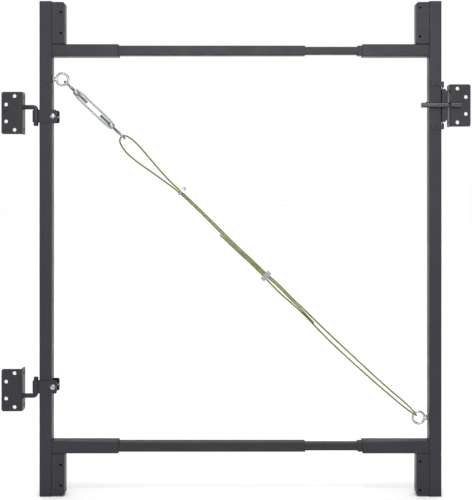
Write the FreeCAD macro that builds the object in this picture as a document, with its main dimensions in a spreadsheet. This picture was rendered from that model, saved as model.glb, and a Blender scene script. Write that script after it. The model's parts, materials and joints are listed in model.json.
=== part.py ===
"""Adjustable gate frame kit: two square-tube uprights joined by telescoping rails, hung on two
lift-proof hinges, closed by a gravity latch and braced by a wire rope with a turnbuckle.

Millimetres. X runs from the hinge post to the latch post, Z is up, and the gate opens towards -Y.
The origin is on the ground under the middle of the kit's overall box.
"""
import FreeCAD, Part

import math
import os
import re

import Sketcher
from FreeCAD import Placement, Rotation, Vector

X, Y, Z = Vector(1, 0, 0), Vector(0, 1, 0), Vector(0, 0, 1)
ALONG_X = Rotation(Y, 90)    # turns a primitive's own Z axis to +X
ALONG_Y = Rotation(X, -90)   # turns a primitive's own Z axis to +Y
UPRIGHT = Rotation()

doc = FreeCAD.newDocument("GateFrameKit")

# ---------------------------------------------------------------- driving dimensions
SIZES = [
    # the frame
    ("gate_width", 1047, "outside to outside of the two uprights, as set"),
    ("closed_gate_width", 849, "the same with the rails pushed fully together"),
    ("gate_height", 1290, "length of an upright, end caps included"),
    ("gate_set_back", 7, "uprights' middle plane behind the middle of the kit's depth"),
    ("upright_size", 32, "square tube of the uprights and rail sleeves"),
    ("upright_wall", 2, "wall of an upright"),
    ("sleeve_wall", 3, "wall of a rail sleeve"),
    ("outer_wall", 2.4, "wall of the tubes that slide in the sleeves"),
    ("inner_wall", 2, "wall of the innermost tube"),
    ("slide_gap", 0.3, "clearance on each side between telescoping tubes"),
    ("tube_corner", 2.5, "outside corner radius of every square tube"),
    ("rail_inset", 128, "rail centre from the end of the uprights"),
    ("sleeve_length", 173.5, ""),
    ("left_tube_length", 610, ""),
    ("inner_tube_length", 560, ""),
    ("right_tube_length", 155, ""),
    ("left_tube_start", 10.5, "left tube from the left upright, rails closed"),
    ("inner_tube_start", 178.3, "inner tube from the left upright, rails closed"),
    ("right_tube_start", 623, "right tube from the left upright, rails closed"),
    ("left_tube_share", 0.2, "part of the width setting that each tube travels"),
    ("inner_tube_share", 0.8, ""),
    ("right_tube_share", 0.88, ""),
    ("cap_thickness", 2, "end cap's cover"),
    ("cap_plug", 14, "depth of its plug"),
    ("cap_gap", 0.2, "plug to tube wall"),
    # corner brackets
    ("corner_width", 33.5, "across, from the upright"),
    ("corner_sheet", 3, ""),
    ("corner_clear", 2, "bracket to the end of the upright"),
    ("corner_round", 7, "its far corners, seen from the front"),
    ("corner_bend", 2.5, "outside radius of its bends"),
    ("corner_hole", 6.6, "hole diameter"),
    ("corner_hole_edge", 9.5, "hole centre from the bracket's far side"),
    ("left_hole_low", 29, "hinge side: first hole from the upright's end"),
    ("left_hole_high", 83, "second hole"),
    ("right_hole_low", 17, "latch side: first hole from the upright's end"),
    ("right_hole_high", 92, "second hole"),
    # post brackets
    ("plate_width", 54, ""),
    ("plate_height", 110, ""),
    ("plate_sheet", 3, "steel sheet of plates, straps and the latch bracket"),
    ("plate_step", 1, "plate's front face in front of the upright's"),
    ("plate_off_clamp", 8, "hinge plates' mid height beyond the clamps'"),
    ("plate_round", 6, ""),
    ("bend_round", 4, "outside radius of a bend in this sheet"),
    ("flange_depth", 34, ""),
    ("plate_hole", 9.5, "screw hole diameter"),
    ("near_hole_x", 20, "inner pair of holes from the flange's face"),
    ("near_hole_z", 44, "half their distance"),
    ("far_hole_x", 42, "outer pair from the flange's face"),
    ("far_hole_z", 22, "half their distance"),
    ("flange_hole_y", 20, "flange holes behind the plate's front"),
    ("flange_hole_z", 42, "half their distance"),
    # hinges
    ("rod_size", 12, "hinge hook's round bar"),
    ("rod_bend", 7.5, "centre-line radius of its bend"),
    ("hinge_arm", 34.5, "flange to pin axis"),
    ("barrel_gap", 0.8, "barrel to the upright"),
    ("hinge_forward", 10, "pin axis in front of the upright's middle plane"),
    ("pin_length", 49, "arm axis to the pin's tip"),
    ("pin_chamfer", 1, ""),
    ("upper_arm_drop", 148, "upper arm axis below the top rail's centre"),
    ("lower_arm_rise", 134, "lower arm axis above the bottom rail's centre"),
    ("pin_gap", 0.05, "radial running clearance of the pins"),
    ("barrel_wall", 3, ""),
    ("barrel_length", 31, ""),
    ("barrel_clear", 0.5, "barrel to the start of the hook's bend"),
    ("strap_height", 33, "clamp strap"),
    ("strap_ear", 14, "ears beyond the upright's inner face"),
    ("ear_round", 4.5, ""),
    ("bolt_size", 6, "clamp bolt"),
    ("bolt_clear", 0.4, "clamp bolt to the upright"),
    ("bolt_slot", 5, "how much longer than wide the ear's slot is"),
    ("bolt_head", 13.5, "round head's diameter"),
    ("bolt_head_rise", 3.6, ""),
    ("bolt_tail", 2.8, "thread beyond the nut"),
    ("hole_gap", 0.25, "radial clearance of bolts in sheet holes"),
    ("thread_gap", 0.05, "radial gap between a screw and its nut"),
    ("nut_flats", 10, "clamp nut across flats"),
    ("nut_height", 5, ""),
    ("nut_flange", 13.5, ""),
    ("nut_flange_sheet", 1.2, ""),
    # brace
    ("eye_offset", 25, "ring centre from the upright's inner face"),
    ("left_eye_drop", 74, "left ring below the top rail's centre"),
    ("right_eye_rise", 74, "right ring above the bottom rail's centre"),
    ("ring_radius", 15.5, "centre line of an eye bolt's ring"),
    ("ring_wire", 6, ""),
    ("eye_shank", 8, "diameter"),
    ("eye_shank_in", 24, "shank's end inside the upright, from its inner face"),
    ("insert_body", 11, "threaded insert's diameter"),
    ("insert_length", 15, ""),
    ("insert_flange", 15, ""),
    ("insert_lip", 1, ""),
    ("eye_nut_flats", 13, ""),
    ("eye_nut_height", 3.4, ""),
    ("eye_nut_flange", 19.5, ""),
    ("eye_nut_lip", 1.6, ""),
    ("screw_eye_radius", 9, "centre line of a turnbuckle screw's eye"),
    ("screw_eye_wire", 5.6, ""),
    ("screw_eye_gap", 0.5, "screw eye to the eye bolt's ring"),
    ("screw_size", 8, ""),
    ("frame_start", 43.4, "turnbuckle frame from the left ring's centre"),
    ("frame_length", 140.3, ""),
    ("frame_hub", 13.5, "hub diameter"),
    ("frame_hub_length", 14, ""),
    ("frame_bar", 5, ""),
    ("frame_bar_spacing", 16.5, ""),
    ("frame_bar_bury", 12, "how deep a side bar is welded into each hub"),
    ("screw_in", 46, "screw's end inside the frame, from the frame's end"),
    ("lower_eye", 216, "lower screw eye from the left ring's centre"),
    ("cable_size", 4, ""),
    ("clip_1_at", 429, "clips from the left ring's centre"),
    ("clip_2_at", 741, ""),
    ("clip_1_side", 0.7, "clip's middle beside the line between the rings"),
    ("clip_2_side", -6.2, ""),
    ("clip_rod", 5, "U-bolt's bar"),
    ("clip_spacing", 19, "between its legs"),
    ("clip_leg", 15.5, "legs beyond the bend"),
    ("saddle_length", 13, "along the rope"),
    ("saddle_width", 28, ""),
    ("saddle_height", 6, ""),
    ("saddle_seat", 2.2, "saddle's face from the bend's centre"),
    ("clip_nut_flats", 8, ""),
    ("clip_nut_height", 4, ""),
    # latch
    ("latch_gap", 21, "right upright's outer face to the latch bracket's flange"),
    ("latch_drop", 144, "striker rod below the top rail's centre"),
    ("striker_size", 13, ""),
    ("striker_length", 104.5, ""),
    ("striker_tail", 23, "striker rod beyond the upright's inner face"),
    ("striker_round", 1.5, ""),
    ("tab_reach", 26, "latch bracket's tabs across the upright's front"),
    ("tab_height", 11, ""),
    ("bracket_half", 62, "half the latch bracket's height"),
    ("wing_neck", 5.5, "latch bracket's edge beyond the upright"),
    ("wing_reach", 15.3, "its wing beyond the upright"),
    ("wing_half", 45, "half the wing's height at the upright"),
    ("wing_slope", 9.5, "its outer corners, cut off"),
    ("side_half", 42, "half the height of its side flange"),
    ("leg_height", 10, "its back leg"),
    ("leg_rise", 8, "back leg's middle above the striker rod"),
    ("leg_reach", 3.4, "back leg's tip beyond the upright's inner face"),
    ("relief_hole", 4, "diameter of the bend relief, a notch in the bracket's edge"),
    ("relief_inset", 1, "its centre inside that edge"),
    ("relief_clear", 0.5, "relief to the side flange's end"),
    ("tab_screw", 4.8, ""),
    ("tab_screw_head", 8, ""),
    ("tab_screw_rise", 2, ""),
    ("tab_screw_length", 14, "below the head"),
    ("catch_sheet", 3, ""),
    ("catch_side_gap", 0.5, "catch to the flange"),
    ("catch_gap", 0.5, "catch to the striker rod"),
    ("catch_round", 0.9, "radius of its corners"),
    ("catch_boss", 6, "sheet beyond the pivot hole, each way"),
    ("catch_shoulder", 7, "its front shoulder below the pivot"),
    ("catch_brow", 5, "top of its slope above the rod"),
    ("pivot_back", 23.5, "catch pivot behind the striker rod's axis"),
    ("pivot_up", 32, "catch pivot above it"),
    ("pivot_size", 6, ""),
    ("pivot_head", 10, ""),
    ("pivot_head_rise", 2, ""),
    ("stop_size", 5, "catch's stop rivet"),
    ("stop_back", 13.5, "stop rivet behind the striker rod's axis"),
    ("stop_up", 12, "stop rivet above it"),
    ("rivet_gap", 0.3, "pivot rivet's head to the catch"),
    ("hook_depth", 9.5, "catch's hook in front of the rod"),
    ("hook_drop", 10, "hook's tip below the rod's axis"),
    ("hook_tip", 3, "width of its tip"),
    ("hook_slope", 8, "height of the slope that rides up over the rod"),
]

sheet = doc.addObject("Spreadsheet::Sheet", "Sizes")
for row, (alias, value, note) in enumerate(SIZES, start=1):
    sheet.set(f"A{row}", "'" + alias.replace("_", " "))
    sheet.set(f"B{row}", str(value))
    sheet.setAlias(f"B{row}", alias)
    if note:
        sheet.set(f"C{row}", "'" + note)
doc.recompute()

size = {alias: float(sheet.get(alias)) for alias, _, _ in SIZES}
size_names = set(size)
place_names = set()


def formula(text):
    """Write an expression's plain names as references to the sheet or to the worked-out places."""
    def refer(match):
        word = match.group(0)
        if word in size_names:
            return "Sizes." + word
        return "Places." + word if word in place_names else word
    return re.sub(r"[A-Za-z_][A-Za-z_0-9]*", refer, str(text))


# ---------------------------------------------------------------- places worked out from the sizes
places = doc.addObject("App::VarSet", "Places")


def derive(name, text):
    places.addProperty("App::PropertyFloat", name, "Places")
    places.setExpression(name, formula(text))
    place_names.add(name)


derive("setting", "gate_width - closed_gate_width")
derive("barrel_size", "rod_size + 2 * barrel_wall")
derive("hinge_offset", "barrel_size / 2 + barrel_gap")
derive("kit_width", "gate_width + 2 * plate_width + hinge_arm + hinge_offset + latch_gap")
derive("left_flange_x", "plate_width - kit_width / 2")
derive("hinge_x", "left_flange_x + hinge_arm")
derive("left_outer_x", "hinge_x + hinge_offset")
derive("left_inner_x", "left_outer_x + upright_size")
derive("right_outer_x", "left_outer_x + gate_width")
derive("right_inner_x", "right_outer_x - upright_size")
derive("right_flange_x", "right_outer_x + latch_gap")
derive("front_y", "gate_set_back - upright_size / 2")
derive("plate_y", "front_y - plate_step")
derive("hinge_y", "gate_set_back - hinge_forward")
derive("top_rail_z", "gate_height - rail_inset")
derive("upper_arm_z", "top_rail_z - upper_arm_drop")
derive("lower_arm_z", "rail_inset + lower_arm_rise")
derive("barrel_reach", "rod_bend + barrel_clear + barrel_length / 2")
derive("upper_clamp_z", "upper_arm_z - barrel_reach")
derive("lower_clamp_z", "lower_arm_z + barrel_reach")
derive("bolt_x", "left_inner_x + bolt_size / 2 + bolt_clear")
derive("outer_size", "upright_size - 2 * sleeve_wall - 2 * slide_gap")
derive("inner_size", "outer_size - 2 * outer_wall - 2 * slide_gap")
derive("corner_height", "rail_inset - upright_size / 2 - corner_clear")
derive("left_eye_x", "left_inner_x + eye_offset")
derive("left_eye_z", "top_rail_z - left_eye_drop")
derive("right_eye_x", "right_inner_x - eye_offset")
derive("right_eye_z", "rail_inset + right_eye_rise")
derive("brace_run", "right_eye_x - left_eye_x")
derive("brace_drop", "left_eye_z - right_eye_z")
derive("brace_length", "sqrt(brace_run ^ 2 + brace_drop ^ 2)")
derive("latch_z", "top_rail_z - latch_drop")
derive("striker_y", "front_y - plate_sheet - striker_size / 2")
derive("striker_x", "right_inner_x - striker_tail")
derive("upper_eye", "ring_radius - ring_wire / 2 - screw_eye_gap - screw_eye_wire / 2 + screw_eye_radius")
doc.recompute()


def worked_out(name):
    return float(getattr(places, name))


# The brace's own frame: x along the line between the rings, z square to it towards the upper right.
brace_turn = Rotation(Y, math.degrees(math.atan2(worked_out("brace_drop"), worked_out("brace_run"))))
print("rings apart", round(worked_out("brace_length"), 2))

parts = []


def keep(obj, label):
    obj.Label = label
    parts.append(obj)
    return obj


def bind(obj, **values):
    for name, text in values.items():
        obj.setExpression(name.replace("_", "."), formula(text))


def put(obj, at=(0, 0, 0), turn=UPRIGHT):
    """Turn an object and bind the place of its own origin."""
    obj.Placement = Placement(Vector(), turn)
    for axis, text in zip("xyz", at):
        obj.setExpression("Placement.Base." + axis, formula(text))
    return obj


# ---------------------------------------------------------------- how pieces are made
class Piece:
    """One PartDesign body, built up from boxes and round bars whose sizes are bound."""

    def __init__(self, label):
        self.body = keep(doc.addObject("PartDesign::Body", label), label)

    def _feature(self, kind, cut):
        prefix = "PartDesign::Subtractive" if cut else "PartDesign::Additive"
        return self.body.newObject(prefix + kind, kind)

    def box(self, corner, extent, cut=False):
        box = self._feature("Box", cut)
        put(box, corner)
        bind(box, Length=extent[0], Width=extent[1], Height=extent[2])
        return self

    def bar(self, at, turn, diameter, length, cut=False):
        bar = self._feature("Cylinder", cut)
        put(bar, at, turn)
        bind(bar, Radius=f"({diameter}) / 2", Height=length)
        return self

    def round(self, radius, wanted, kind="Fillet"):
        """Round the straight or circular edges for which wanted(edge's middle, its direction) holds."""
        doc.recompute()
        base = self.body.Tip
        names = [f"Edge{i}" for i, edge in enumerate(base.Shape.Edges, 1)
                 if wanted(*describe(edge))]
        if not names:
            raise RuntimeError(f"{self.body.Label}: no edge to round")
        fillet = self.body.newObject("PartDesign::" + kind, kind)
        fillet.Base = (base, names)
        bind(fillet, **{"Radius" if kind == "Fillet" else "Size": radius})
        return self

    def place(self, at=(0, 0, 0), turn=UPRIGHT):
        put(self.body, at, turn)
        return self


def describe(edge):
    """An edge's middle point, and its direction, or None where it is curved."""
    first, last = edge.ParameterRange
    middle = edge.valueAt((first + last) / 2)
    if not isinstance(edge.Curve, Part.Line):
        return middle, None
    return middle, edge.tangentAt(first)


def runs(direction, axis):
    return direction is not None and abs(direction.dot(axis)) > 0.999


def primitive(kind, at=(0, 0, 0), turn=UPRIGHT, **values):
    obj = doc.addObject("Part::" + kind, kind)
    put(obj, at, turn)
    bind(obj, **values)
    return obj


def cylinder(at, turn, diameter, length):
    return primitive("Cylinder", at, turn, Radius=f"({diameter}) / 2", Height=length)


def hexagon(at, turn, flats, height):
    prism = primitive("Prism", at, turn, Circumradius=f"({flats}) / sqrt(3)", Height=height)
    prism.Polygon = 6
    return prism


def torus(at, turn, centre_line, wire, sweep=360):
    ring = primitive("Torus", at, turn, Radius1=centre_line, Radius2=f"({wire}) / 2")
    ring.Angle3 = sweep
    return ring


def fused(label, *pieces, at=(0, 0, 0), turn=UPRIGHT):
    fuse = doc.addObject("Part::MultiFuse", label)
    fuse.Shapes = list(pieces)
    fuse.Refine = True
    return put(fuse, at, turn)


def less(label, base, tool, at=(0, 0, 0), turn=UPRIGHT):
    cut = doc.addObject("Part::Cut", label)
    cut.Base, cut.Tool = base, tool
    return put(cut, at, turn)


# ---------------------------------------------------------------- square tubes
def square_tube(label, outside, wall, length, at, turn):
    """A hollow square tube that runs along its own +Z from its placement, centred on it."""
    bore = f"(({outside}) - 2 * ({wall}))"
    tube = Piece(label)
    tube.box([f"-({outside}) / 2", f"-({outside}) / 2", 0], [outside, outside, length])
    tube.round("tube_corner", lambda middle, along: runs(along, Z))
    tube.box([f"-{bore} / 2", f"-{bore} / 2", -1], [bore, bore, f"({length}) + 2"], cut=True)
    return tube.place(at, turn)


# A side is its name, its upright's axis, the inner face and the turn that points +X to the other side.
SIDES = [
    ("left", "left_outer_x + upright_size / 2", "left_inner_x", Rotation()),
    ("right", "right_inner_x + upright_size / 2", "right_inner_x", Rotation(Z, 180)),
]
RAILS = [("top", "top_rail_z"), ("bottom", "rail_inset")]

for side, axis_x, inner_x, inward in SIDES:
    upright = square_tube(
        f"{side}_upright", "upright_size", "upright_wall", "gate_height - 2 * cap_thickness",
        [axis_x, "gate_set_back", "cap_thickness"], UPRIGHT)
    # the hole for the eye bolt's threaded insert, in the wall that faces the other upright
    reach = "-upright_size" if side == "right" else "0"
    upright.bar([reach, 0, f"{side}_eye_z - cap_thickness"], ALONG_X,
                "insert_body + 2 * hole_gap", "upright_size", cut=True)
    if side == "right":
        # the holes in its front wall that the latch bracket's two screws tap into
        for sign in ("+", "-"):
            height = f"latch_z {sign} (bracket_half - tab_height / 2) - cap_thickness"
            upright.bar(["upright_size / 2 - tab_reach / 2", "-upright_size / 2 - 1", height],
                        ALONG_Y, "tab_screw", "upright_wall + 2", cut=True)

    for end, z, turn in (("top", "gate_height - cap_thickness", Rotation()),
                         ("bottom", "cap_thickness", Rotation(X, 180))):
        cap = Piece(f"{side}_{end}_cap")
        cap.box(["-upright_size / 2", "-upright_size / 2", 0],
                ["upright_size", "upright_size", "cap_thickness"])
        cap.round("tube_corner", lambda middle, along: runs(along, Z))
        plug = "(upright_size - 2 * upright_wall - 2 * cap_gap)"
        cap.box([f"-{plug} / 2", f"-{plug} / 2", "-cap_plug"], [plug, plug, "cap_plug"])
        hollow = f"({plug} - 2 * cap_thickness)"
        cap.box([f"-{hollow} / 2", f"-{hollow} / 2", "-cap_plug - 1"],
                [hollow, hollow, "cap_plug + 1"], cut=True)
        cap.place([axis_x, "gate_set_back", z], turn)

    for rail, z in RAILS:
        start = inner_x if side == "left" else f"{inner_x} - sleeve_length"
        square_tube(f"{side}_{rail}_sleeve", "upright_size", "sleeve_wall", "sleeve_length",
                    [start, "gate_set_back", z], ALONG_X)

STAGES = [
    ("left", "outer_size", "outer_wall"),
    ("inner", "inner_size", "inner_wall"),
    ("right", "outer_size", "outer_wall"),
]
for stage, outside, wall in STAGES:
    start = f"left_inner_x + {stage}_tube_start + {stage}_tube_share * setting"
    for rail, z in RAILS:
        square_tube(f"{stage}_{rail}_tube", outside, wall, f"{stage}_tube_length",
                    [start, "gate_set_back", z], ALONG_X)


# ---------------------------------------------------------------- corner brackets
def corner_bracket(label, low, high, at, turn):
    """A U of sheet as deep as the upright that its open side meets. Its own +Z runs from the rail to the
    upright's end."""
    bracket = Piece(label)
    bracket.box([0, "-upright_size / 2", 0], ["corner_width", "upright_size", "corner_height"])
    far = size["corner_width"] - 0.1
    bracket.round("corner_round", lambda middle, along: runs(along, Y) and middle.x > far)
    bracket.round("corner_bend", lambda middle, along: runs(along, Z) and middle.x > far)
    bracket.box([-1, "corner_sheet - upright_size / 2", -1],
                ["corner_width - corner_sheet + 1", "upright_size - 2 * corner_sheet",
                 "corner_height + 2"], cut=True)
    end = "corner_height + corner_clear"
    for distance in (low, high):
        bracket.bar(["corner_width - corner_hole_edge", "-upright_size", f"{end} - {distance}"],
                    ALONG_Y, "corner_hole", "2 * upright_size", cut=True)
    return bracket.place(at, turn)


top_corner = "top_rail_z + upright_size / 2"
bottom_corner = "rail_inset - upright_size / 2"
for name, low, high, inner_x, z, turn in (
        ("top_left", "left_hole_low", "left_hole_high", "left_inner_x", top_corner, Rotation()),
        ("bottom_left", "left_hole_low", "left_hole_high", "left_inner_x", bottom_corner,
         Rotation(X, 180)),
        ("top_right", "right_hole_low", "right_hole_high", "right_inner_x", top_corner,
         Rotation(Z, 180)),
        ("bottom_right", "right_hole_low", "right_hole_high", "right_inner_x", bottom_corner,
         Rotation(Y, 180))):
    corner_bracket(f"{name}_corner_bracket", low, high, [inner_x, "gate_set_back", z], turn)


# ---------------------------------------------------------------- post brackets
def post_bracket(label, side, at):
    """An angle of sheet: a plate on the post's front and a flange on the side that faces the gate.
    Its own origin is where the plate's front meets the flange's face, at mid height."""
    away = side == "left"     # the plate reaches away from the gate: -X at the hinge post
    bracket = Piece(label)
    plate_x = "-plate_width" if away else "0"
    flange_x = "-plate_sheet" if away else "0"
    bracket.box([plate_x, 0, "-plate_height / 2"], ["plate_width", "plate_sheet", "plate_height"])
    bracket.box([flange_x, 0, "-plate_height / 2"], ["plate_sheet", "flange_depth", "plate_height"])
    bracket.round("bend_round", lambda middle, along: runs(along, Z) and abs(middle.x) < 0.1
                  and abs(middle.y) < 0.1)
    edge = size["plate_width"]
    bracket.round("plate_round", lambda middle, along: runs(along, Y) and abs(middle.x) > edge - 0.1)
    depth = size["flange_depth"]
    bracket.round("plate_round", lambda middle, along: runs(along, X) and middle.y > depth - 0.1)
    sign = "-" if away else ""
    for x, z in (("near_hole_x", "near_hole_z"), ("far_hole_x", "far_hole_z")):
        for up in ("", "-"):
            bracket.bar([f"{sign}{x}", -1, f"{up}{z}"], ALONG_Y, "plate_hole", "plate_sheet + 2",
                        cut=True)
    for up in ("", "-"):
        bracket.bar(["-plate_sheet - 1", "flange_hole_y", f"{up}flange_hole_z"], ALONG_X,
                    "plate_hole", "2 * plate_sheet + 2", cut=True)
    return bracket.place(at)


plate_z = {
    "upper_hinge": "upper_clamp_z + plate_off_clamp",
    "lower_hinge": "lower_clamp_z - plate_off_clamp",
    "latch": "latch_z",
}
post_bracket("upper_hinge_post_bracket", "left",
             ["left_flange_x", "plate_y", plate_z["upper_hinge"]])
post_bracket("lower_hinge_post_bracket", "left",
             ["left_flange_x", "plate_y", plate_z["lower_hinge"]])
latch_post = post_bracket("latch_post_bracket", "right",
                          ["right_flange_x", "plate_y", plate_z["latch"]])
for diameter, back, up in (("pivot_size", "pivot_back", "pivot_up"),
                           ("stop_size", "stop_back", "stop_up")):
    latch_post.bar([-1, f"striker_y + {back} - plate_y", up], ALONG_X, diameter,
                   "plate_sheet + 2", cut=True)


# ---------------------------------------------------------------- hinges
HINGES = [
    ("upper", "upper_arm_z", "upper_clamp_z", Rotation()),
    ("lower", "lower_arm_z", "lower_clamp_z", Rotation(X, 180)),
]
for level, arm_z, clamp_z, turn in HINGES:
    # the hook's own origin is where its arm's axis would meet its pin's, and its pin points to -Z
    arm = cylinder(["-hinge_arm", 0, 0], ALONG_X, "rod_size", "hinge_arm - rod_bend")
    elbow = torus(["-rod_bend", 0, "-rod_bend"], Rotation(X, 90), "rod_bend", "rod_size", sweep=90)
    pin = cylinder([0, 0, "pin_chamfer - pin_length"], UPRIGHT, "rod_size",
                   "pin_length - rod_bend - pin_chamfer")
    tip = primitive("Cone", [0, 0, "-pin_length"], Radius1="rod_size / 2 - pin_chamfer",
                    Radius2="rod_size / 2", Height="pin_chamfer")
    keep(fused(f"{level}_hinge_hook", arm, elbow, pin, tip, at=["hinge_x", "hinge_y", arm_z],
               turn=turn), f"{level}_hinge_hook")

    # the clamp's own origin is on the upright's axis at the strap's mid height
    clamp = Piece(f"{level}_hinge_clamp")
    half = "upright_size / 2"
    clamp.box([f"-{half} - plate_sheet", f"-{half} - plate_sheet", "-strap_height / 2"],
              ["upright_size + plate_sheet + strap_ear", "upright_size + 2 * plate_sheet",
               "strap_height"])
    outer = size["upright_size"] / 2 + size["strap_ear"] - 0.1
    clamp.round("bend_round", lambda middle, along: runs(along, Z) and middle.x < 0)
    clamp.round("ear_round", lambda middle, along: runs(along, Y) and middle.x > outer)
    clamp.box([f"-{half}", f"-{half}", "-strap_height"],
              ["upright_size + strap_ear + 1", "upright_size", "2 * strap_height"], cut=True)
    barrel = [f"-{half} - hinge_offset", "-hinge_forward"]
    clamp.bar(barrel + ["-barrel_length / 2"], UPRIGHT, "barrel_size", "barrel_length")
    clamp.bar(barrel + ["-strap_height"], UPRIGHT, "rod_size + 2 * pin_gap", "2 * strap_height",
              cut=True)
    # each ear's slot: two round ends and the stretch between them
    slot_x = f"{half} + bolt_clear + bolt_size / 2"
    wide = "(bolt_size + 2 * hole_gap)"
    for shift in ("0", "bolt_slot"):
        clamp.bar([f"{slot_x} + {shift}", "-upright_size", 0], ALONG_Y, wide, "2 * upright_size",
                  cut=True)
    clamp.box([slot_x, "-upright_size", f"-{wide} / 2"], ["bolt_slot", "2 * upright_size", wide],
              cut=True)
    clamp.place(["left_outer_x + upright_size / 2", "gate_set_back", clamp_z])

    # the bolt's own origin is on the upright's middle plane, and its head is towards -Y;
    # the lower clamp's bolt is put in from the back
    about = Rotation() if level == "upper" else Rotation(Z, 180)
    outside = "(upright_size / 2 + plate_sheet)"
    head = cylinder([0, f"-{outside} - bolt_head_rise", 0], ALONG_Y, "bolt_head", "bolt_head_rise")
    shank = cylinder([0, f"-{outside} - 1", 0], ALONG_Y, "bolt_size",
                     f"2 * {outside} + 1 + nut_height + nut_flange_sheet + bolt_tail")
    keep(fused(f"{level}_clamp_bolt", head, shank, at=["bolt_x", "gate_set_back", clamp_z],
               turn=about), f"{level}_clamp_bolt")
    flange = cylinder([0, outside, 0], ALONG_Y, "nut_flange", "nut_flange_sheet")
    flats = hexagon([0, f"{outside} + nut_flange_sheet", 0], ALONG_Y, "nut_flats", "nut_height")
    thread = cylinder([0, outside, 0], ALONG_Y, "bolt_size + 2 * thread_gap",
                      "nut_height + 2 * nut_flange_sheet")
    keep(less(f"{level}_clamp_nut", fused("nut", flange, flats), thread,
              at=["bolt_x", "gate_set_back", clamp_z], turn=about), f"{level}_clamp_nut")


# ---------------------------------------------------------------- eye bolts
for side, _, inner_x, inward in SIDES:
    # own origin at the ring's centre; the shank points to -X, into the upright
    at = [f"{side}_eye_x", "gate_set_back", f"{side}_eye_z"]
    ring = torus([0, 0, 0], Rotation(X, 90), "ring_radius", "ring_wire")
    shank = cylinder(["-eye_offset - eye_shank_in", 0, 0], ALONG_X, "eye_shank",
                     "eye_offset + eye_shank_in - ring_radius")
    keep(fused(f"{side}_eye_bolt", ring, shank, at=at, turn=inward), f"{side}_eye_bolt")

    screw_hole = "eye_shank + 2 * thread_gap"
    body = cylinder(["-eye_offset - insert_length", 0, 0], ALONG_X, "insert_body", "insert_length")
    lip = cylinder(["-eye_offset", 0, 0], ALONG_X, "insert_flange", "insert_lip")
    bore = cylinder(["-eye_offset - insert_length - 1", 0, 0], ALONG_X, screw_hole,
                    "insert_length + insert_lip + 2")
    keep(less(f"{side}_eye_insert", fused("insert", body, lip), bore, at=at, turn=inward),
         f"{side}_eye_insert")

    start = "-eye_offset + insert_lip"
    flange = cylinder([start, 0, 0], ALONG_X, "eye_nut_flange", "eye_nut_lip")
    flats = hexagon([f"{start} + eye_nut_lip", 0, 0], ALONG_X, "eye_nut_flats", "eye_nut_height")
    bore = cylinder([start, 0, 0], ALONG_X, screw_hole, "2 * (eye_nut_lip + eye_nut_height)")
    keep(less(f"{side}_eye_nut", fused("nut", flange, flats), bore, at=at, turn=inward),
         f"{side}_eye_nut")


# ---------------------------------------------------------------- turnbuckle
def on_brace(obj):
    """Put an object made in the brace's own frame where the line between the rings runs."""
    return put(obj, ["left_eye_x", "gate_set_back", "left_eye_z"], brace_turn)


frame_end = "(frame_start + frame_length)"
ring = torus(["upper_eye", 0, 0], UPRIGHT, "screw_eye_radius", "screw_eye_wire")
shank = cylinder(["upper_eye + screw_eye_radius", 0, 0], ALONG_X, "screw_size",
                 "frame_start + screw_in - upper_eye - screw_eye_radius")
keep(on_brace(fused("turnbuckle_upper_screw", ring, shank)), "turnbuckle_upper_screw")

ring = torus(["lower_eye", 0, 0], UPRIGHT, "screw_eye_radius", "screw_eye_wire")
shank = cylinder([f"{frame_end} - screw_in", 0, 0], ALONG_X, "screw_size",
                 f"lower_eye - screw_eye_radius - {frame_end} + screw_in")
keep(on_brace(fused("turnbuckle_lower_screw", ring, shank)), "turnbuckle_lower_screw")

solid = []
for start in ("frame_start", f"{frame_end} - frame_hub_length"):
    solid.append(cylinder([start, 0, 0], ALONG_X, "frame_hub", "frame_hub_length"))
for sign in ("", "-"):
    solid.append(cylinder(["frame_start + frame_hub_length - frame_bar_bury", 0,
                           f"{sign}frame_bar_spacing / 2"], ALONG_X, "frame_bar",
                          "frame_length - 2 * (frame_hub_length - frame_bar_bury)"))
bore = cylinder(["frame_start - 1", 0, 0], ALONG_X, "screw_size + 2 * pin_gap", "frame_length + 2")
keep(on_brace(less("turnbuckle_frame", fused("frame", *solid), bore)), "turnbuckle_frame")


# ---------------------------------------------------------------- wire rope clips
def rope_clip(label, along, side, roll):
    """Saddle, U-bolt and its two nuts. The clip's own legs point to -Y and straddle the rope in Z."""
    at = [f"left_eye_x + ({along} * brace_run + {side} * brace_drop) / brace_length",
          "gate_set_back",
          f"left_eye_z + ({side} * brace_run - {along} * brace_drop) / brace_length"]
    turn = brace_turn.multiply(Rotation(X, roll))
    half = "clip_spacing / 2"
    bend = torus([0, 0, 0], Rotation(Y, -90), half, "clip_rod", sweep=180)
    legs = [cylinder([0, "-clip_leg", f"{sign}{half}"], ALONG_Y, "clip_rod", "clip_leg")
            for sign in ("", "-")]
    keep(fused(f"{label}_u_bolt", bend, *legs, at=at, turn=turn), f"{label}_u_bolt")

    face = "(saddle_seat + saddle_height)"
    block = primitive("Box", ["-saddle_length / 2", f"-{face}", "-saddle_width / 2"],
                      Length="saddle_length", Width="saddle_height", Height="saddle_width")
    holes = fused("holes", *[cylinder([0, f"-{face} - 1", f"{sign}{half}"], ALONG_Y,
                                      "clip_rod + 2 * hole_gap", "saddle_height + 2")
                             for sign in ("", "-")])
    keep(less(f"{label}_saddle", block, holes, at=at, turn=turn), f"{label}_saddle")

    nuts = []
    for sign in ("", "-"):
        seat = [0, f"-{face} - clip_nut_height", f"{sign}{half}"]
        nut = hexagon(seat, ALONG_Y, "clip_nut_flats", "clip_nut_height")
        bore = cylinder(seat, ALONG_Y, "clip_rod + 2 * thread_gap", "clip_nut_height")
        nuts.append(less("nut", nut, bore))
    both = doc.addObject("Part::Compound", f"{label}_nuts")
    both.Links = nuts
    keep(put(both, at, turn), f"{label}_nuts")


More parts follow.
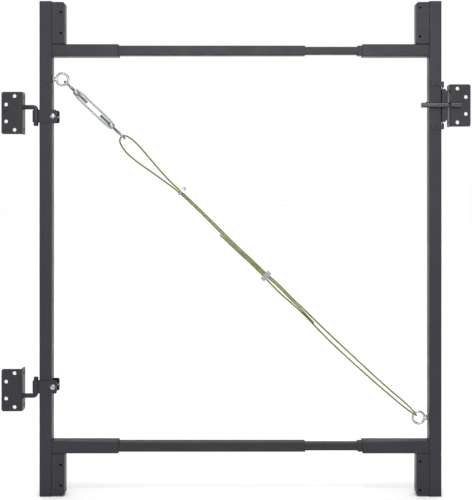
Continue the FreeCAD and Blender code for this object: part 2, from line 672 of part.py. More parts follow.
rope_clip("clip_1", "clip_1_at", "clip_1_side", -90)
rope_clip("clip_2", "clip_2_at", "clip_2_side", 0)


# ---------------------------------------------------------------- wire rope
# The rope's route in the brace's own frame: along the brace, in front (-) or behind (+), and beside it.
# It starts at its lower loose end, goes down to the right ring and round the ring's wire, comes back
# through both clips to the turnbuckle's eye, and returns through the clips to its upper loose end.
ROPE = [
    (580, 0.0, -11.0), (632, 0.4, -11.4), (684, 0.6, -10.0), (736, 0.2, -10.6),
    (790, -0.4, -14.2), (842, 0.0, -12.2), (888, 0.8, -10.6), (940, 1.0, -14.4),
    (1000, 0.0, -15.3), (1070, 0.4, -14.2), (1140, 0.8, -12.0), (1200, 2.0, -9.2),
    (1232, 4.4, -7.4), (1256, 6.0, -5.0), (1277.5, 6.5, -1.6),
    (1277.5, -6.5, 1.6), (1255, -5.6, 4.2), (1226, -3.6, 4.0), (1184, -1.6, 0.8),
    (1120, -0.6, -1.0), (1050, 0.4, -1.6), (990, 0.0, -2.3), (930, -0.6, -2.2),
    (880, 0.4, -1.2), (832, 0.2, -1.8), (784, 0.0, 0.9), (738, 0.2, -1.8),
    (686, -1.6, -1.0), (632, 0.2, -2.2), (578, 0.4, -1.0), (524, 0.0, 0.5), (474, -0.2, 1.1),
    (429, 0.0, 0.7), (392, 0.0, -0.1), (350, 0.4, 2.9), (309, 0.2, 7.1), (269, -0.3, 11.6),
    (238, -0.2, 12.2), (216, 0.0, 5.0),
    (216, 0.0, -12.0), (232, 0.2, -20.4), (255, 0.3, -24.6), (289, 0.0, -22.6),
    (333, -0.4, -15.8), (381, 0.0, -9.2), (427, 0.0, -3.7), (474, 0.2, -3.4),
    (524, 0.0, -4.1), (578, -0.2, -5.9), (632, -0.4, -7.0), (684, 1.8, -5.6),
    (738, 0.4, -6.2), (788, -0.4, -3.9), (836, -0.8, -6.4), (878, -2.4, -6.2), (917, -3.9, -9.6),
]
ARC_SHARE = 0.45   # how much of the shorter run an arc takes at each of its ends


def rope_line(points):
    """Straight runs joined by tangent arcs, as one wire. Prints the tightest arcs."""
    edges, radii, start = [], [], points[0]
    for before, corner, after in zip(points, points[1:], points[2:]):
        into, out = (corner - before), (after - corner)
        tangent = ARC_SHARE * min(into.Length, out.Length)
        into.normalize()
        out.normalize()
        turn = into.getAngle(out)
        radii.append(tangent / math.tan(turn / 2))
        first, last = corner - into * tangent, corner + out * tangent
        inward = (out - into).normalize()
        middle = corner + inward * (radii[-1] / math.cos(turn / 2) - radii[-1])
        edges += [Part.LineSegment(start, first).toShape(), Part.Arc(first, middle, last).toShape()]
        start = last
    edges.append(Part.LineSegment(start, points[-1]).toShape())
    print("rope's tightest arcs, mm:", [round(radius, 1) for radius in sorted(radii)[:6]])
    return Part.Wire(edges)


line = rope_line([Vector(*point) for point in ROPE])
radius = size["cable_size"] / 2
profile = Part.Wire(Part.Circle(line.Edges[0].firstVertex().Point,
                                line.Edges[0].tangentAt(0), radius).toShape())
tube = line.makePipeShell([profile], True, False)
print(f"rope length {line.Length:.1f} mm; volume over section times length",
      round(tube.Volume / (math.pi * radius ** 2 * line.Length), 5))
rope = doc.addObject("Part::Feature", "truss_cable")
rope.Shape = tube
keep(on_brace(rope), "truss_cable")


# ---------------------------------------------------------------- latch
def latch_gate_bracket():
    """Sheet on the right upright: two screwed tabs, a wing that carries the striker rod, a side flange
    bent out of the window between the tabs, and a leg that goes round the back.
    Own origin: the upright's outer front edge, at the striker rod's height."""
    bracket = Piece("latch_gate_bracket")
    bracket.box(["-tab_reach", "-plate_sheet", "-bracket_half"],
                ["tab_reach + wing_neck", "plate_sheet", "2 * bracket_half"])
    bracket.box([0, "-plate_sheet", "-wing_half"], ["wing_reach", "plate_sheet", "2 * wing_half"])
    reach = size["wing_reach"] - 0.1
    bracket.round("wing_slope", lambda middle, along: runs(along, Y) and middle.x > reach, "Chamfer")
    bracket.box(["-tab_reach - 1", "-plate_sheet - 1", "tab_height - bracket_half"],
                ["tab_reach + 1", "plate_sheet + 2", "2 * (bracket_half - tab_height)"], cut=True)
    bracket.box([0, "-plate_sheet", "-side_half"],
                ["plate_sheet", "upright_size + 2 * plate_sheet", "2 * side_half"])
    bracket.box(["-upright_size - leg_reach", "upright_size", "leg_rise - leg_height / 2"],
                ["upright_size + leg_reach + plate_sheet", "plate_sheet", "leg_height"])
    tip = -size["upright_size"] - size["leg_reach"] + 0.1
    bracket.round("leg_height / 2 - 0.1", lambda middle, along: runs(along, Y) and middle.x < tip)
    for sign in ("", "-"):
        bracket.bar(["-tab_reach / 2", "-plate_sheet - 1",
                     f"{sign}(bracket_half - tab_height / 2)"],
                    ALONG_Y, "tab_screw + 2 * hole_gap", "plate_sheet + 2", cut=True)
        bracket.bar(["wing_neck - relief_inset", "-plate_sheet - 1",
                     f"{sign}(side_half + relief_clear + relief_hole / 2)"],
                    ALONG_Y, "relief_hole", "plate_sheet + 2", cut=True)
    bracket.place(["right_outer_x", "front_y", "latch_z"])


latch_gate_bracket()

striker = Piece("striker_rod")
striker.bar([0, 0, 0], UPRIGHT, "striker_size", "striker_length")
striker.round("striker_round", lambda middle, along: along is None)
striker.place(["striker_x", "striker_y", "latch_z"], ALONG_X)

screws = []
for sign in ("", "-"):
    z = f"{sign}(bracket_half - tab_height / 2)"
    head = hexagon([0, "-tab_screw_rise", z], ALONG_Y, "tab_screw_head", "tab_screw_rise")
    shank = cylinder([0, "-0.5", z], ALONG_Y, "tab_screw", "tab_screw_length + 0.5")
    screws.append(fused("screw", head, shank))
both = doc.addObject("Part::Compound", "latch_bracket_screws")
both.Links = screws
keep(put(both, ["right_outer_x - tab_reach / 2", "front_y - plate_sheet", "latch_z"]),
     "latch_bracket_screws")

catch_x = "(right_flange_x - catch_side_gap - catch_sheet)"
rivet_reach = "(catch_side_gap + catch_sheet + plate_sheet)"
shank = cylinder([f"-{rivet_reach} + plate_sheet", 0, 0], ALONG_X, "pivot_size", rivet_reach)
head = cylinder(["-catch_side_gap - catch_sheet - pivot_head_rise", 0, 0], ALONG_X, "pivot_head",
                "pivot_head_rise - rivet_gap")
neck = cylinder(["-catch_side_gap - catch_sheet - rivet_gap - 0.5", 0, 0], ALONG_X, "pivot_size",
                "rivet_gap + 1")
keep(fused("catch_pivot_pin", shank, head, neck,
           at=["right_flange_x", "striker_y + pivot_back", "latch_z + pivot_up"]),
     "catch_pivot_pin")
stop = cylinder(["right_flange_x - catch_side_gap - catch_sheet", "striker_y + stop_back",
                 "latch_z + stop_up"], ALONG_X, "stop_size",
                "catch_side_gap + catch_sheet + plate_sheet")
keep(stop, "catch_stop_rivet")


def flat_piece(label, corners, thickness):
    """A sheet profile in the YZ plane, each corner a pair of bound sizes, padded towards +X."""
    piece = Piece(label)
    plane = next(origin for origin in piece.body.Origin.OriginFeatures if origin.Role == "YZ_Plane")
    sketch = piece.body.newObject("Sketcher::SketchObject", "Profile")
    sketch.AttachmentSupport = [(plane, "")]
    sketch.MapMode = "FlatFace"
    values = []
    for y, z in corners:
        places.setExpression("corner_y", formula(y))
        places.setExpression("corner_z", formula(z))
        doc.recompute()
        values.append(Vector(places.corner_y, places.corner_z, 0))
    for i, value in enumerate(values):
        sketch.addGeometry(Part.LineSegment(value, values[(i + 1) % len(values)]))
    for i, (y, z) in enumerate(corners):
        sketch.addConstraint(Sketcher.Constraint("Coincident", i - 1 if i else len(corners) - 1, 2, i, 1))
        for kind, text, value in (("DistanceX", y, values[i].x), ("DistanceY", z, values[i].y)):
            number = sketch.addConstraint(Sketcher.Constraint(kind, -1, 1, i, 1, value))
            sketch.setExpression(f"Constraints[{number}]", formula(text))
    pad = piece.body.newObject("PartDesign::Pad", "Pad")
    pad.Profile = sketch
    bind(pad, Length=thickness)
    return piece


# The catch hangs from its pivot over the striker rod; own origin on the rod's axis. Its sloped nose
# rides up over the rod as the gate closes, and its hook drops in front of the rod.
places.addProperty("App::PropertyFloat", "corner_y", "Places")
places.addProperty("App::PropertyFloat", "corner_z", "Places")
inside = "(striker_size / 2 + catch_gap)"
boss = "(pivot_size / 2 + catch_boss)"
under_stop = "stop_up + stop_size / 2 + catch_gap"
catch = flat_piece("latch_catch", [
    [f"-{inside}", "-hook_drop"],
    [f"-{inside}", f"{inside}"],
    [f"{inside}", f"{inside}"],
    ["stop_back - stop_size / 2 - catch_gap", under_stop],
    ["stop_back + stop_size", under_stop],
    [f"pivot_back + {boss}", f"pivot_up - {boss}"],
    [f"pivot_back + {boss}", f"pivot_up + {boss}"],
    [f"pivot_back - {boss}", f"pivot_up + {boss}"],
    [f"-{inside}", "pivot_up - catch_shoulder"],
    [f"-{inside} - hook_depth", f"{inside} + catch_brow"],
    [f"-{inside} - hook_depth", "hook_slope - hook_drop"],
    [f"-{inside} - hook_tip", "-hook_drop"],
], "catch_sheet")
catch.round("catch_round", lambda middle, along: runs(along, X))
catch.bar([-1, "pivot_back", "pivot_up"], ALONG_X, "pivot_size + 2 * pin_gap", "catch_sheet + 2",
          cut=True)
catch.place(["right_flange_x - catch_side_gap - catch_sheet", "striker_y", "latch_z"])


# ---------------------------------------------------------------- check and write
doc.recompute()
for obj in doc.Objects:
    if "Invalid" in obj.State or "Error" in obj.State:
        owner = obj.getParentGeoFeatureGroup()
        raise RuntimeError(f"{obj.Label} in {owner.Label if owner else 'no body'} failed: {obj.State}")
for obj in parts:
    if obj.Shape.isNull() or not obj.Shape.isValid() or not obj.Shape.Solids:
        raise RuntimeError(f"{obj.Label} has no valid solid")

os.makedirs("parts", exist_ok=True)
for obj in parts:
    obj.Shape.exportStep(f"parts/{obj.Label}.step")
box = FreeCAD.BoundBox()
for obj in parts:
    box.add(obj.Shape.BoundBox)
print(len(parts), "nodes; box", [round(v, 2) for v in
      (box.XMin, box.YMin, box.ZMin, box.XMax, box.YMax, box.ZMax)])
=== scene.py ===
# %% [markdown]
# Two square steel uprights are joined by rails that telescope, so one kit suits gateways of many widths.
# The gate hangs on two clamp-on hinges, closes with a gravity latch, and a coated wire rope with a
# turnbuckle holds it square. The CAD model gives every size and place. This lesson gives each piece its
# finished surface: softened edges, rolled threads, weld beads, a laid rope and real coatings.

# %% Load the fixed frame
import json
import math

import bmesh
import bpy
from mathutils import Matrix, Vector

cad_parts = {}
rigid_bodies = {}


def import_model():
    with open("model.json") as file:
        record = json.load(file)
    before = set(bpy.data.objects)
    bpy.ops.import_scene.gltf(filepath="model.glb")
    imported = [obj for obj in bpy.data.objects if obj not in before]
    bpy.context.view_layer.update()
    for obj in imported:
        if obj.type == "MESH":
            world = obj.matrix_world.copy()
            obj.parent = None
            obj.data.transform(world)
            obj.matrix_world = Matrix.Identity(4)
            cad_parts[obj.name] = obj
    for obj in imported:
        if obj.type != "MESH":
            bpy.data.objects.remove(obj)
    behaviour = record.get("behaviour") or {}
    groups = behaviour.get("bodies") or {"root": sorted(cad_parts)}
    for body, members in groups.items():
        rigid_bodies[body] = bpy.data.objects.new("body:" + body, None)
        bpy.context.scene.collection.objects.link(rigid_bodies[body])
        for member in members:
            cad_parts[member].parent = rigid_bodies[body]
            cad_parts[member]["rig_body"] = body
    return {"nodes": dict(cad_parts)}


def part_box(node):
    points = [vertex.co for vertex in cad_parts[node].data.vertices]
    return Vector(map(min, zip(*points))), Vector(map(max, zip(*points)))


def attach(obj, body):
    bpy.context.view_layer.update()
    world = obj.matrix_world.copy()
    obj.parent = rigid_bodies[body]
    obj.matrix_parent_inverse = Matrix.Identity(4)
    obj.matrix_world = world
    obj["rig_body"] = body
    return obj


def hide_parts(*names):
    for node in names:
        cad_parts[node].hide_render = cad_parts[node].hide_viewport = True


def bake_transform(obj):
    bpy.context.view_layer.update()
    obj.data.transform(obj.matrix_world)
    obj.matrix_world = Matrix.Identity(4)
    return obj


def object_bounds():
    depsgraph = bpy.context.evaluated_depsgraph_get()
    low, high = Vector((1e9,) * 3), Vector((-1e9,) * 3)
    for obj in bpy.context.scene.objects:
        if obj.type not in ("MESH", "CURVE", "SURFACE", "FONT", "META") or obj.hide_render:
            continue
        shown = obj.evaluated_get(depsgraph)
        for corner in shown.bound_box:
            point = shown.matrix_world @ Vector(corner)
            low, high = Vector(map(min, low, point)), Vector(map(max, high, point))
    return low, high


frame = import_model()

cad_low, cad_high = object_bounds()
MM = 0.001
body_of = {node: obj["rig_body"] for node, obj in frame["nodes"].items()}

# %% [markdown]
# ## Colours and nodes
# Paint charts give colours as sRGB hex values, but a shader works in linear light, so one function turns
# the first into the second. Node trees are easier to read when every node is added in one line, so one
# helper adds a node, sets its properties, and links or sets its inputs.


# %% Three small helpers
def colour(code):
    """Linear RGBA from an sRGB hex value."""
    parts = [int(code[i:i + 2], 16) / 255 for i in (1, 3, 5)]
    return [p / 12.92 if p <= 0.04045 else ((p + 0.055) / 1.055) ** 2.4 for p in parts] + [1.0]


def add(tree, kind, inputs=(), **settings):
    """Add a node. Its inputs, by place or by name, are values, sockets, or nodes (their first output)."""
    node = tree.nodes.new(kind)
    for name, value in settings.items():
        setattr(node, name, value)
    for name, value in (inputs.items() if isinstance(inputs, dict) else enumerate(inputs)):
        if isinstance(value, bpy.types.Node):
            value = value.outputs[0]
        if isinstance(value, bpy.types.NodeSocket):
            tree.links.new(value, node.inputs[name])
        else:
            node.inputs[name].default_value = value
    return node


def per_metre(size):
    """A texture's scale, so that one cell of its pattern has this size."""
    return 1 / size


# %% [markdown]
# ## Finishes
# Each material starts from its common name and from how its surface was made. A new material has a
# Principled shader and reads Object coordinates, because every finished piece sits at the origin, so a
# pattern has its real size and stays put when the gate swings.


# %% A material to start from
def new_finish(name, metallic=0.0, ior=1.5):
    material = bpy.data.materials.new(name)
    material.use_nodes = True
    tree = material.node_tree
    tree.nodes.clear()
    shader = add(tree, "ShaderNodeBsdfPrincipled", {"Metallic": metallic})
    if not metallic:
        shader.inputs["IOR"].default_value = ior
    add(tree, "ShaderNodeOutputMaterial", {"Surface": shader.outputs[0]})
    place = add(tree, "ShaderNodeTexCoord").outputs["Object"]
    return material, tree, shader, place


def mottled(tree, place, size, first, second, low=0.35, high=0.65, detail=2.0):
    """Two colours that drift into each other in patches of this size."""
    noise = add(tree, "ShaderNodeTexNoise", {"Vector": place, "Scale": per_metre(size), "Detail": detail})
    share = add(tree, "ShaderNodeMapRange", {"Value": noise.outputs[0], "From Min": low, "From Max": high})
    return add(tree, "ShaderNodeMix", {0: share.outputs[0], 6: colour(first), 7: colour(second)},
               data_type="RGBA").outputs[2]


def between_values(tree, place, size, low, high, detail=2.0):
    """A number that wanders from low to high in patches of this size."""
    noise = add(tree, "ShaderNodeTexNoise", {"Vector": place, "Scale": per_metre(size), "Detail": detail})
    return add(tree, "ShaderNodeMapRange", {"Value": noise.outputs[0], "From Min": 0.3, "From Max": 0.7,
                                            "To Min": low, "To Max": high}).outputs[0]


# %% [markdown]
# ### Powder coat
# Steel for outdoors is sprayed with dry polyester powder and baked. The melted powder levels out but not
# quite, which leaves orange peel: low waves about a millimetre across that break up reflections. Across a
# whole gate a millimetre can't be seen, so the peel is drawn 2.5 mm wide. A baked coat is a plastic over
# metal, so it isn't metallic. Matting agents in it lower its gloss, so the IOR is 1.42 and it is satin.
# The colour is never quite even, so two close greys drift into each other, and a few specks of paler dust
# lie in it.


def powder_coat(name, main, patch, rough=(0.36, 0.46), rubbed=0.0):
    material, tree, shader, place = new_finish(name, ior=1.42)
    base = mottled(tree, place, 180 * MM, main, patch)
    specks = add(tree, "ShaderNodeTexVoronoi", {"Vector": place, "Scale": per_metre(7 * MM)})
    near = add(tree, "ShaderNodeMapRange", {"Value": specks.outputs["Distance"], "From Min": 0.06,
                                            "From Max": 0.10, "To Min": 0.35, "To Max": 0.0})
    base = add(tree, "ShaderNodeMix", {0: near.outputs[0], 6: base, 7: colour("#5A5A60")},
               data_type="RGBA").outputs[2]
    if rubbed:
        # the telescoping tubes rub along X, which leaves fine pale lines 30 times as long as wide
        lines = add(tree, "ShaderNodeMapping", {"Vector": place, "Scale": (1 / 30, 1, 1)})
        streaks = add(tree, "ShaderNodeTexNoise", {"Vector": lines.outputs[0], "Detail": 4.0,
                                                   "Scale": per_metre(3 * MM)})
        share = add(tree, "ShaderNodeMapRange", {"Value": streaks.outputs[0], "From Min": 0.6,
                                                 "From Max": 0.75, "To Max": rubbed})
        base = add(tree, "ShaderNodeMix", {0: share.outputs[0], 6: base, 7: colour("#6A6A70")},
                   data_type="RGBA").outputs[2]
    tree.links.new(base, shader.inputs["Base Color"])
    tree.links.new(between_values(tree, place, 40 * MM, *rough), shader.inputs["Roughness"])
    peel = add(tree, "ShaderNodeTexNoise", {"Vector": place, "Scale": per_metre(2.5 * MM), "Detail": 1.0})
    bump = add(tree, "ShaderNodeBump", {"Height": peel.outputs[0], "Distance": 0.06 * MM, "Strength": 0.7})
    tree.links.new(bump.outputs[0], shader.inputs["Normal"])
    return material


frame_coat = powder_coat("powder_coat_frame", "#191821", "#1D1C25")
tube_coat = powder_coat("powder_coat_tubes", "#18171F", "#1C1B23", rubbed=0.12)
bracket_coat = powder_coat("powder_coat_brackets", "#191920", "#1D1E24", rough=(0.32, 0.42))
hook_coat = powder_coat("powder_coat_hooks", "#17171A", "#1C1C20", rough=(0.28, 0.36))
print("powder coats made")

# %% [markdown]
# ### Zinc and blackened steel
# Bolts, nuts, eye bolts and rope clips are zinc plated in a bath: bright, bluish, with faint clouds where
# the plating is thicker. The turnbuckle is dipped in molten zinc, which freezes in flat crystals that a
# Voronoi pattern draws: each cell has its own slightly different grey and roughness. The striker rod has
# a thin black phosphate skin, through which the steel shines. All three are metal, so they are metallic.


# %% Metal finishes
def plated_zinc(name):
    material, tree, shader, place = new_finish(name, metallic=1.0)
    tree.links.new(mottled(tree, place, 15 * MM, "#A0A4A8", "#AEB1B4"), shader.inputs["Base Color"])
    tree.links.new(between_values(tree, place, 15 * MM, 0.14, 0.20), shader.inputs["Roughness"])
    grain = add(tree, "ShaderNodeTexNoise", {"Vector": place, "Scale": per_metre(0.7 * MM), "Detail": 1.0})
    bump = add(tree, "ShaderNodeBump", {"Height": grain.outputs[0], "Distance": 0.01 * MM, "Strength": 0.3})
    tree.links.new(bump.outputs[0], shader.inputs["Normal"])
    return material


def dipped_zinc(name):
    material, tree, shader, place = new_finish(name, metallic=1.0)
    spangle = add(tree, "ShaderNodeTexVoronoi", {"Vector": place, "Scale": per_metre(4 * MM)})
    crystal = add(tree, "ShaderNodeSeparateColor", {0: spangle.outputs["Color"]}).outputs[0]
    tone = add(tree, "ShaderNodeMix", {0: crystal, 6: colour("#8A8E92"), 7: colour("#9A9DA0")},
               data_type="RGBA").outputs[2]
    tree.links.new(tone, shader.inputs["Base Color"])
    rough = add(tree, "ShaderNodeMapRange", {"Value": crystal, "To Min": 0.26, "To Max": 0.34})
    tree.links.new(rough.outputs[0], shader.inputs["Roughness"])
    bump = add(tree, "ShaderNodeBump", {"Height": spangle.outputs["Distance"], "Distance": 0.02 * MM,
                                        "Strength": 0.4})
    tree.links.new(bump.outputs[0], shader.inputs["Normal"])
    return material


def blackened_steel(name):
    """Bar with a thin black phosphate skin, which the catch rubs bright along its length."""
    material, tree, shader, place = new_finish(name, metallic=1.0)
    skin = mottled(tree, place, 30 * MM, "#43434A", "#4C4C53")
    lines = add(tree, "ShaderNodeMapping", {"Vector": place, "Scale": (1 / 30, 1, 1)})
    rubs = between_values(tree, lines.outputs[0], 2 * MM, 0.0, 0.3)
    tree.links.new(add(tree, "ShaderNodeMix", {0: rubs, 6: skin, 7: colour("#66666C")},
                       data_type="RGBA").outputs[2], shader.inputs["Base Color"])
    tree.links.new(between_values(tree, place, 30 * MM, 0.24, 0.3), shader.inputs["Roughness"])
    return material


zinc = plated_zinc("zinc_plated_steel")
striker_coat = blackened_steel("blackened_striker")
galvanised = dipped_zinc("galvanised_steel")
print("zinc finishes made")

# %% [markdown]
# ### Plastics
# The rope's coat is soft PVC, extruded over the strands: its skin is waxy, so its gloss and its IOR are
# low, and it lets a little light in. Its colour drifts slowly along the rope, and handling leaves it
# duller in places. The end caps are moulded in one shot from dark polypropylene, with a fine spark-eroded
# grain from the mould.


# %% Rope coat and end caps
def rope_coat():
    material, tree, shader, place = new_finish("rope_pvc_coat", ior=1.33)
    tree.links.new(mottled(tree, place, 35 * MM, "#526200", "#627404"), shader.inputs["Base Color"])
    tree.links.new(between_values(tree, place, 12 * MM, 0.50, 0.62), shader.inputs["Roughness"])
    shader.inputs["Subsurface Weight"].default_value = 0.05
    shader.inputs["Subsurface Radius"].default_value = (0.6, 1.0, 0.2)
    shader.inputs["Subsurface Scale"].default_value = 1 * MM
    return material


def cap_plastic():
    material, tree, shader, place = new_finish("cap_polypropylene", ior=1.49)
    tree.links.new(mottled(tree, place, 20 * MM, "#26262B", "#2B2B30"), shader.inputs["Base Color"])
    tree.links.new(between_values(tree, place, 8 * MM, 0.48, 0.58), shader.inputs["Roughness"])
    grain = add(tree, "ShaderNodeTexNoise", {"Vector": place, "Scale": per_metre(0.8 * MM)})
    bump = add(tree, "ShaderNodeBump", {"Height": grain.outputs[0], "Distance": 0.05 * MM, "Strength": 0.8})
    tree.links.new(bump.outputs[0], shader.inputs["Normal"])
    return material


green_coat = rope_coat()
moulded = cap_plastic()
print("plastics made")

# %% [markdown]
# ## Making meshes
# A Geometry Nodes tree can stand for a whole workshop machine: one tree rolls threads, and another bends
# bar, lays rope and lays weld beads. Each is built once with named inputs, then run for every piece that
# needs it. The last function below runs a tree and keeps the result as a plain mesh, so nothing live is
# left on the piece.


# %% Build and run node trees
def new_tree(name, **inputs):
    """A Geometry Nodes tree with a mesh input, named number inputs and a mesh output."""
    tree = bpy.data.node_groups.new(name, "GeometryNodeTree")
    tree.interface.new_socket("Geometry", in_out="INPUT", socket_type="NodeSocketGeometry")
    for label, value in inputs.items():
        kind = "NodeSocketInt" if isinstance(value, int) else "NodeSocketFloat"
        tree.interface.new_socket(label, in_out="INPUT", socket_type=kind).default_value = value
    tree.interface.new_socket("Finish", in_out="INPUT", socket_type="NodeSocketMaterial")
    tree.interface.new_socket("Geometry", in_out="OUTPUT", socket_type="NodeSocketGeometry")
    return tree, add(tree, "NodeGroupInput").outputs


def end_tree(tree, source, result):
    """Close a tree: the result becomes real faces with the finish on them."""
    real = add(tree, "GeometryNodeRealizeInstances", {"Geometry": result})
    coated = add(tree, "GeometryNodeSetMaterial", {"Geometry": real.outputs[0],
                                                   "Material": source["Finish"]})
    add(tree, "NodeGroupOutput", {"Geometry": coated.outputs[0]})


def grown(tree, finish, base=None, **inputs):
    """Run a tree on a base mesh and return what it makes as a plain mesh."""
    holder = bpy.data.objects.new(tree.name, base or bpy.data.meshes.new(tree.name))
    bpy.context.scene.collection.objects.link(holder)
    modifier = holder.modifiers.new(tree.name, "NODES")
    modifier.node_group = tree
    for item in tree.interface.items_tree:
        if item.in_out == "INPUT" and item.name in inputs:
            modifier[item.identifier] = inputs[item.name]
        elif item.in_out == "INPUT" and item.name == "Finish":
            modifier[item.identifier] = finish
    ready = holder.evaluated_get(bpy.context.evaluated_depsgraph_get())
    mesh = bpy.data.meshes.new_from_object(ready)
    holder.modifiers.remove(modifier)
    bpy.data.objects.remove(holder)
    return mesh


# %% [markdown]
# ### Rolled threads
# A thread is one ridge that winds round a bar. The tree starts from a plain cylinder with many rows. At
# each point it counts how many turns the ridge has made at that height, takes away the point's own
# angle, and what is left after the whole turns says how far the point is from the ridge's crest.


# %% The thread tree
def thread_tree():
    tree, source = new_tree("rolled_thread", Radius=4 * MM, Depth=0.7 * MM, Pitch=1.25 * MM,
                            Length=30 * MM, Sides=20, Rows=6)
    turns = add(tree, "ShaderNodeMath", [source["Length"], source["Pitch"]], operation="DIVIDE")
    rows = add(tree, "ShaderNodeMath", [turns, source["Rows"]], operation="MULTIPLY")
    bar = add(tree, "GeometryNodeMeshCylinder", {"Vertices": source["Sides"], "Side Segments": rows,
                                                 "Radius": source["Radius"], "Depth": source["Length"]})
    here = add(tree, "ShaderNodeSeparateXYZ", [add(tree, "GeometryNodeInputPosition")]).outputs
    angle = add(tree, "ShaderNodeMath", [here[1], here[0]], operation="ARCTAN2")
    around = add(tree, "ShaderNodeMath", [angle, math.tau], operation="DIVIDE")
    risen = add(tree, "ShaderNodeMath", [here[2], source["Pitch"]], operation="DIVIDE")
    phase = add(tree, "ShaderNodeMath", [risen, around], operation="SUBTRACT")
    ridge = add(tree, "ShaderNodeMath", [phase, 0.5], operation="PINGPONG")  # 0 in the furrow, 0.5 on top
    # the ridge fades out over the last turn at each end, as a rolled thread does
    half = add(tree, "ShaderNodeMath", [source["Length"], 0.5], operation="MULTIPLY")
    up = add(tree, "ShaderNodeMath", [here[2]], operation="ABSOLUTE")
    to_end = add(tree, "ShaderNodeMath", [half, up], operation="SUBTRACT")
    fade = add(tree, "ShaderNodeMapRange", {"Value": to_end, "From Max": source["Pitch"], "To Max": 2.0})
    height = add(tree, "ShaderNodeMath", [ridge, fade], operation="MULTIPLY")
    below = add(tree, "ShaderNodeMath", [1.0, height], operation="SUBTRACT")
    sunk = add(tree, "ShaderNodeMath", [below, source["Depth"]], operation="MULTIPLY")
    share = add(tree, "ShaderNodeMath", [sunk, source["Radius"]], operation="DIVIDE")
    outward = add(tree, "ShaderNodeCombineXYZ", [here[0], here[1]])
    inward = add(tree, "ShaderNodeMath", [share, -1.0], operation="MULTIPLY")
    moved = add(tree, "ShaderNodeVectorMath", {0: outward, "Scale": inward}, operation="SCALE")
    shaped = add(tree, "GeometryNodeSetPosition", {"Geometry": bar.outputs["Mesh"], "Offset": moved})
    end_tree(tree, source, shaped.outputs[0])
    return tree


THREAD = thread_tree()
print("thread tree:", len(THREAD.nodes), "nodes")

# %% [markdown]
# ### Bars, ropes and weld beads along a path
# Rings, U-bolts and hooks are round bar bent along a path, a rope is strands laid along a path, and a
# weld bead is a row of small ripples along a path. One tree does all three: it sweeps a circle along
# the path, then pushes each point in or out by two waves, one that winds round the path (the strands'
# lay) and one that goes along it (the ripples of a weld).


# %% The sweep tree
def sweep_tree():
    tree, source = new_tree("swept_bar", Radius=2 * MM, Sides=12, Strands=0.0, Lay=30 * MM, Furrow=0.0,
                            Ripple=0.0, Step=2 * MM)
    path = add(tree, "GeometryNodeMeshToCurve", {"Mesh": source["Geometry"]})
    ring = add(tree, "GeometryNodeCurvePrimitiveCircle", {"Resolution": source["Sides"],
                                                          "Radius": source["Radius"]})
    along = add(tree, "GeometryNodeSplineParameter").outputs
    # the distance along the path and the share of the way round the ring are kept for the waves below
    kept = []
    for geometry, value in ((path, along["Length"]), (ring, along["Factor"])):
        keep = add(tree, "GeometryNodeCaptureAttribute", {"Geometry": geometry})
        keep.capture_items.new("FLOAT", "value")
        tree.links.new(value, keep.inputs["value"])
        kept.append(keep.outputs)
    distance, round_it = kept[0]["value"], kept[1]["value"]
    swept = add(tree, "GeometryNodeCurveToMesh", {"Curve": kept[0]["Geometry"], "Fill Caps": True,
                                                  "Profile Curve": kept[1]["Geometry"]})
    laid = add(tree, "ShaderNodeMath", [distance, source["Lay"]], operation="DIVIDE")
    turns = add(tree, "ShaderNodeMath", [round_it, laid], operation="SUBTRACT")
    half_turn = add(tree, "ShaderNodeMath", [source["Strands"], math.pi], operation="MULTIPLY")
    angle = add(tree, "ShaderNodeMath", [turns, half_turn], operation="MULTIPLY")
    half_step = add(tree, "ShaderNodeMath", [math.pi, source["Step"]], operation="DIVIDE")
    beat = add(tree, "ShaderNodeMath", [distance, half_step], operation="MULTIPLY")
    depth = []
    for phase, name in ((angle, "Furrow"), (beat, "Ripple")):
        wave = add(tree, "ShaderNodeMath", [phase], operation="SINE")
        lobe = add(tree, "ShaderNodeMath", [wave], operation="ABSOLUTE")
        under = add(tree, "ShaderNodeMath", [lobe, 1.0], operation="SUBTRACT")
        depth.append(add(tree, "ShaderNodeMath", [under, source[name]], operation="MULTIPLY"))
    both = add(tree, "ShaderNodeMath", depth, operation="ADD")
    normal = add(tree, "GeometryNodeInputNormal")
    push = add(tree, "ShaderNodeVectorMath", {0: normal, "Scale": both}, operation="SCALE")
    shaped = add(tree, "GeometryNodeSetPosition", {"Geometry": swept, "Offset": push})
    end_tree(tree, source, shaped.outputs[0])
    return tree


SWEEP = sweep_tree()
print("sweep tree:", len(SWEEP.nodes), "nodes")

# %% [markdown]
# ### Shapes made by hand
# A path is a mesh of edges only. A turned part is made the way a lathe makes it: an outline of radii and
# heights goes round the axis. A thread and a turned part are made upright at the origin, and a matrix
# then moves the mesh itself to its place, so the object stays unturned at the origin.


# %% Paths, turned shapes and places
def polyline(points, closed=False):
    """A path as a mesh of edges. A closed one gets its last stretch, so its points stop one step short."""
    mesh = bpy.data.meshes.new("path")
    last = len(points) if closed else len(points) - 1
    mesh.from_pydata([tuple(p) for p in points], [(i, (i + 1) % len(points)) for i in range(last)], [])
    return mesh


def arc(centre, first, second, radius, start, end, steps):
    """Points on an arc from start to end degrees; first and second are its 0 and 90 degree directions."""
    angles = [math.radians(start + (end - start) * i / steps) for i in range(steps + 1)]
    return [centre + first * (radius * math.cos(a)) + second * (radius * math.sin(a)) for a in angles]


def facing(origin, along, across=Vector((0, 0, 1))):
    """A matrix that puts a shape's own +Z along a direction, and its +X as near to across as it can."""
    z = along.normalized()
    x = across - z * across.dot(z)
    x = x.normalized() if x.length > 1e-6 else z.orthogonal().normalized()
    return Matrix.Translation(origin) @ Matrix((x, z.cross(x), z)).transposed().to_4x4()


def placed(mesh, matrix):
    """The same mesh, moved by a matrix."""
    mesh.transform(matrix)
    return mesh


